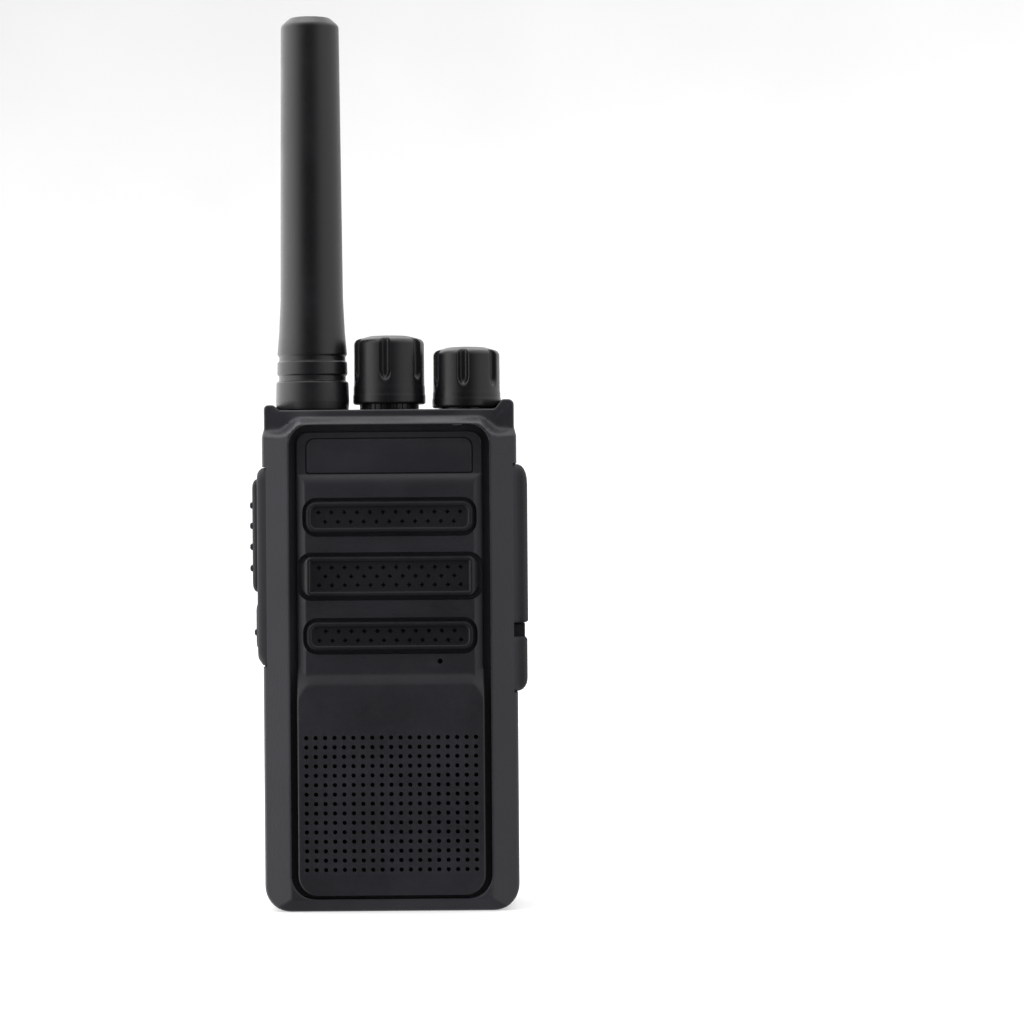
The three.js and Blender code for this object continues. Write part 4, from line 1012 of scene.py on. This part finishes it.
def battery_shell():
    """The battery pack's shell, with two lugs at its top and grip grooves across its back."""
    profile = [(0.15, BATTERY_FRONT_Y), (0, BATTERY_FRONT_Y + 0.2), (0, 9.0)]
    profile += [(side, 0.45 * side, 0.2 * side, depth) for _, side, depth in back_corner(BACK_Y)]
    shell = stacked("front", (-HALF, HALF), (0, BATTERY_TOP), (FOOT_RADIUS, 0.8),
                    profile, steps=10)
    lugs = [stacked("front", (x - 3, x + 3), (82.0, 83.6), (0.2, 0.3),
                    [(0.1, 0, 0.1, 12.6), (0, 12.8), (0, 14.4), (0.1, 0, 0.1, 14.6)])
            for x in (-LUG_X, LUG_X)]
    combined(shell, lugs, "UNION")
    inside = stacked("front", (-24.7, 24.7), (2.0, 80.7), (3.5, 1.0),
                     [(0, 0), (0, 13.5), (1.2, 14.9)])
    latch_notch = slab("front", (-8.4, 8.4), (-1, 1.75), 0.2, (0, 6.4))
    groove = [(0.35, BACK_Y - 0.35), (0.1, BACK_Y - 0.2), (-0.3, 18)]
    grooves = [stacked("front", (-13, 13), (height, height + 1.1), (0.5, 0.5), groove)
               for height in (8.0, 10.6, 13.2, 15.8)]
    dressed(combined(shell, [inside, latch_notch] + grooves), "battery_shell")


def battery_latch():
    """The slide in the foot, with three grip grooves underneath."""
    profile = [(0.1, 0.1, 0.35, 0.35), (0, 0.45), (0, 1.4), (0.1, 1.5)]
    slide = stacked("top", (-8.0, 8.0), (-1.2, 5.9), (0.6, 0.4), profile)
    grips = [stacked("top", (-6, 6), (y - 0.3, y + 0.3), (0.25, 0.25),
                     [(0, 0), (0, 0.55), (0.1, 0.7)]) for y in (0.4, 1.6, 2.8)]
    dressed(combined(slide, grips), "battery_latch")


# ---------- belt clip
def clip_bracket():
    """A plate screwed to the battery pack, with two ears that hold the pin."""
    plate = stacked("front", (-11.4, 11.4), (64, 78), (1.5, 1.5),
                    [(0.1, 16.55), (0, 16.65), (0, 17.75), (0.2, 18.0)])
    arc = [(PIN_Y + EAR_RADIUS * math.sin(t), PIN_Z - EAR_RADIUS * math.cos(t))
           for t in np.linspace(0, math.pi, 17)]
    outline = [(BACK_Y + 1, PIN_Z - 4)] + arc + [(BACK_Y + 1, PIN_Z + 4)]
    ears = [prism("side", outline, depths) for depths in ((-10.1, -11.4), (10.1, 11.4))]
    combined(plate, ears, "UNION")
    holes = [rod(1.15, (-20, 20), (0, PIN_Y, PIN_Z), "side")]
    holes += [rod(1.4, (10, 22), (x, 0, CLIP_SCREW_Z), "front") for x in (-CLIP_SCREW_X, CLIP_SCREW_X)]
    combined(plate, holes)
    edge = plate.modifiers.new("edge", "BEVEL")
    edge.width = 0.12 * MM
    edge.segments = 2
    edge.limit_method = "ANGLE"
    edge.angle_limit = math.radians(50)
    dressed(plate, "clip_bracket")


def belt_clip():
    """A sprung blade: thin, gently curved, thumb pad at the top and a hooked toe."""
    stations = [  # height, half width, inner face, outer face
        (82.2, 8.9, 20.0, 20.8), (81.9, 9.35, 19.75, 21.1), (80.0, 9.6, 19.85, 21.6),
        (76.6, 9.6, 20.5, 22.3), (72.0, 9.6, 20.75, 22.75), (66.0, 9.6, 20.85, 23.0),
        (58.0, 9.3, 20.9, 23.0), (50.0, 8.9, 20.6, 22.6), (41.0, 8.4, 19.8, 21.9),
        (34.0, 8.0, 18.6, 20.9), (28.6, 7.6, 17.15, 19.9), (26.6, 7.1, 16.95, 19.3),
        (24.9, 6.0, 17.3, 18.8), (24.1, 4.9, 17.8, 18.4),
    ]
    heights, *columns = np.array(stations[::-1]).T
    loops = []
    for z in np.unique(np.concatenate([heights, np.arange(25.0, 82.0, 1.5)])):
        half, inner, outer = (np.interp(z, heights, column) for column in columns)
        radius = min(0.45, 0.45 * (outer - inner))
        outline = rounded_rectangle(-half, half, inner, outer, radius, radius, 4)
        loops.append([(x, y, z) for x, y in outline])
    blade = lofted(loops, 40)
    combined(blade, [rod(2.75, (-6.05, 6.05), (0, PIN_Y, PIN_Z), "side")])
    knuckles = [rod(2.2, span, (0, PIN_Y, PIN_Z), "side") for span in ((-9.5, -6.15), (6.15, 9.5))]
    combined(blade, knuckles, "UNION")
    combined(blade, [rod(1.2, (-20, 20), (0, PIN_Y, PIN_Z), "side")])
    dressed(blade, "belt_clip")


# ---------- parts kept from the CAD model
def dress_kept_nodes():
    """Procedural materials for the CAD nodes that still show."""
    for node, obj in frame["nodes"].items():
        if obj.hide_render:
            continue
        obj.data.materials.clear()
        obj.data.materials.append(MATERIALS[SLOT_OF[node]])


# ---------- stage, light and camera
FLOOR_RADIUS = 1100.0
SWEEP_RADIUS = 500.0
BACKDROP_HEIGHT = 2000.0
SWEEP_GLOW = 0.42


def stage_material():
    recipe = Recipe("studio_sweep")
    mottle = recipe.noise(90.0, 3.0)
    tone = recipe.blend(recipe.ranged(mottle, 0.3, 0.7), (0.58, 0.58, 0.58), (0.62, 0.62, 0.62))
    recipe.feed("Base Color", tone)
    recipe.feed("Roughness", recipe.ranged(mottle, 0.3, 0.7, 0.75, 0.85))
    recipe.feed("Specular IOR Level", 0.2)
    recipe.feed("Emission Color", (1, 1, 1, 1))
    recipe.feed("Emission Strength", SWEEP_GLOW)
    return recipe.material


def sweep():
    """Pale round floor that curves up into a backdrop on every side."""
    line = [(0.001, 0.0), (400.0, 0.0), (FLOOR_RADIUS, 0.0)]
    line += [(FLOOR_RADIUS + SWEEP_RADIUS * math.sin(t), SWEEP_RADIUS * (1 - math.cos(t)))
             for t in np.linspace(0.1, math.pi / 2, 14)]
    line.append((FLOOR_RADIUS + SWEEP_RADIUS, BACKDROP_HEIGHT))
    turns = [2 * math.pi * k / 48 for k in range(48)]
    loops = [[(r * math.cos(t), r * math.sin(t), z) for t in turns] for r, z in line]
    floor = lofted(loops, 60, "open")
    floor.name = "floor"
    floor.data.materials.append(stage_material())
    floor.visible_glossy = False  # the black plastic doesn't mirror the white sweep
    floor.visible_diffuse = False
    floor.visible_shadow = False


def top_light():
    """One soft box above the radio, a little behind it."""
    light = bpy.data.lights.new("top_box", "AREA")
    light.shape = "RECTANGLE"
    light.size = 0.7
    light.size_y = 0.6
    light.energy = 3
    box = bpy.data.objects.new("top_box", light)
    box.location = (-0.15, 0.1, 1.1)
    aim = Vector((0, 0, 0.08)) - box.location
    box.rotation_euler = aim.to_track_quat("-Z", "Y").to_euler()
    bpy.context.scene.collection.objects.link(box)


STUDIO_GLOWS = [  # direction the glow comes from, where it starts and is full, strength
    ((-0.94, 0.34, 0.0), 0.0, 1.0, 2.8),  # broad light wall at the left, wrapping behind
    ((0.97, 0.25, 0.0), -0.1, 0.6, 1.0),  # weaker wall at the right
    ((0.0, 0.1, 1.0), 0.25, 1.0, 1.2),  # ceiling
]
STUDIO_BASE = 0.07


def world():
    """A dim studio with soft walls of light, so that the black plastic has something to mirror."""
    studio = bpy.data.worlds.new("studio")
    nodes = Nodes(studio)
    direction = nodes.node("ShaderNodeTexCoord").outputs["Generated"]
    total = STUDIO_BASE
    for towards, start, full, strength in STUDIO_GLOWS:
        facing = nodes.node("ShaderNodeVectorMath")
        facing.operation = "DOT_PRODUCT"
        facing.inputs[1].default_value = Vector(towards).normalized()
        nodes.link(direction, facing.inputs[0])
        glow = nodes.node("ShaderNodeMapRange", **{
            "From Min": start, "From Max": full, "To Max": strength})
        glow.interpolation_type = "SMOOTHSTEP"
        nodes.link(facing.outputs["Value"], glow.inputs["Value"])
        total = nodes.combine("ADD", total, glow.outputs["Result"])
    background = nodes.tree.nodes["Background"]
    background.inputs["Color"].default_value = (1, 1, 1, 1)
    nodes.link(total, background.inputs["Strength"])
    bpy.context.scene.world = studio


def camera():
    """A long lens that looks straight at the front, level with the upper trim bar."""
    lens = bpy.data.cameras.new("camera")
    lens.lens = 133.9
    lens.sensor_width = 36
    lens.shift_x = 0.0634  # the radio stands left of the frame's middle but is seen straight on
    lens.shift_y = 0.0005
    obj = bpy.data.objects.new("camera", lens)
    obj.location = (0.012, -0.8, 0.0829)
    obj.rotation_euler = (math.radians(90), 0, 0)
    obj.rotation_euler.rotate_axis("Z", math.radians(-0.45))  # the photograph's slight tilt
    bpy.context.scene.collection.objects.link(obj)
    bpy.context.scene.camera = obj


# ---------- the whole radio
front_housing()
front_panel()
name_plate()
for bar in BARS:
    trim_bar(bar)
aerial()
for knob_node, knob_size in KNOBS.items():
    knob(knob_node, **knob_size)
channel_collar()
side_key_carrier()
for key_node, key in KEYS.items():
    side_key(key_node, key)
accessory_cover()
jack_block()
pan_screw("cover_screw", (28.1, CONTROL_Y, COVER_SCREW_Z), "side", (1.9, 0.5), (1.0, 1.3))
chassis()
battery_shell()
battery_latch()
clip_bracket()
for side_name, side in (("left", -1), ("right", 1)):
    clip_screw_at = (side * CLIP_SCREW_X, BACK_Y + 1.55, CLIP_SCREW_Z)
    chassis_screw_at = (side * SCREW_X, PARTING_Y + 0.05, SCREW_Z)
    pan_screw("clip_screw_" + side_name, clip_screw_at, "front", (2.1, 0.8), (1.1, 1.3))
    pan_screw("chassis_screw_" + side_name, chassis_screw_at, "front", (1.9, 0.9), (1.0, 6.0))
belt_clip()
dress_kept_nodes()

sweep()
world()
top_light()
camera()
bpy.context.scene.view_settings.view_transform = "Standard"
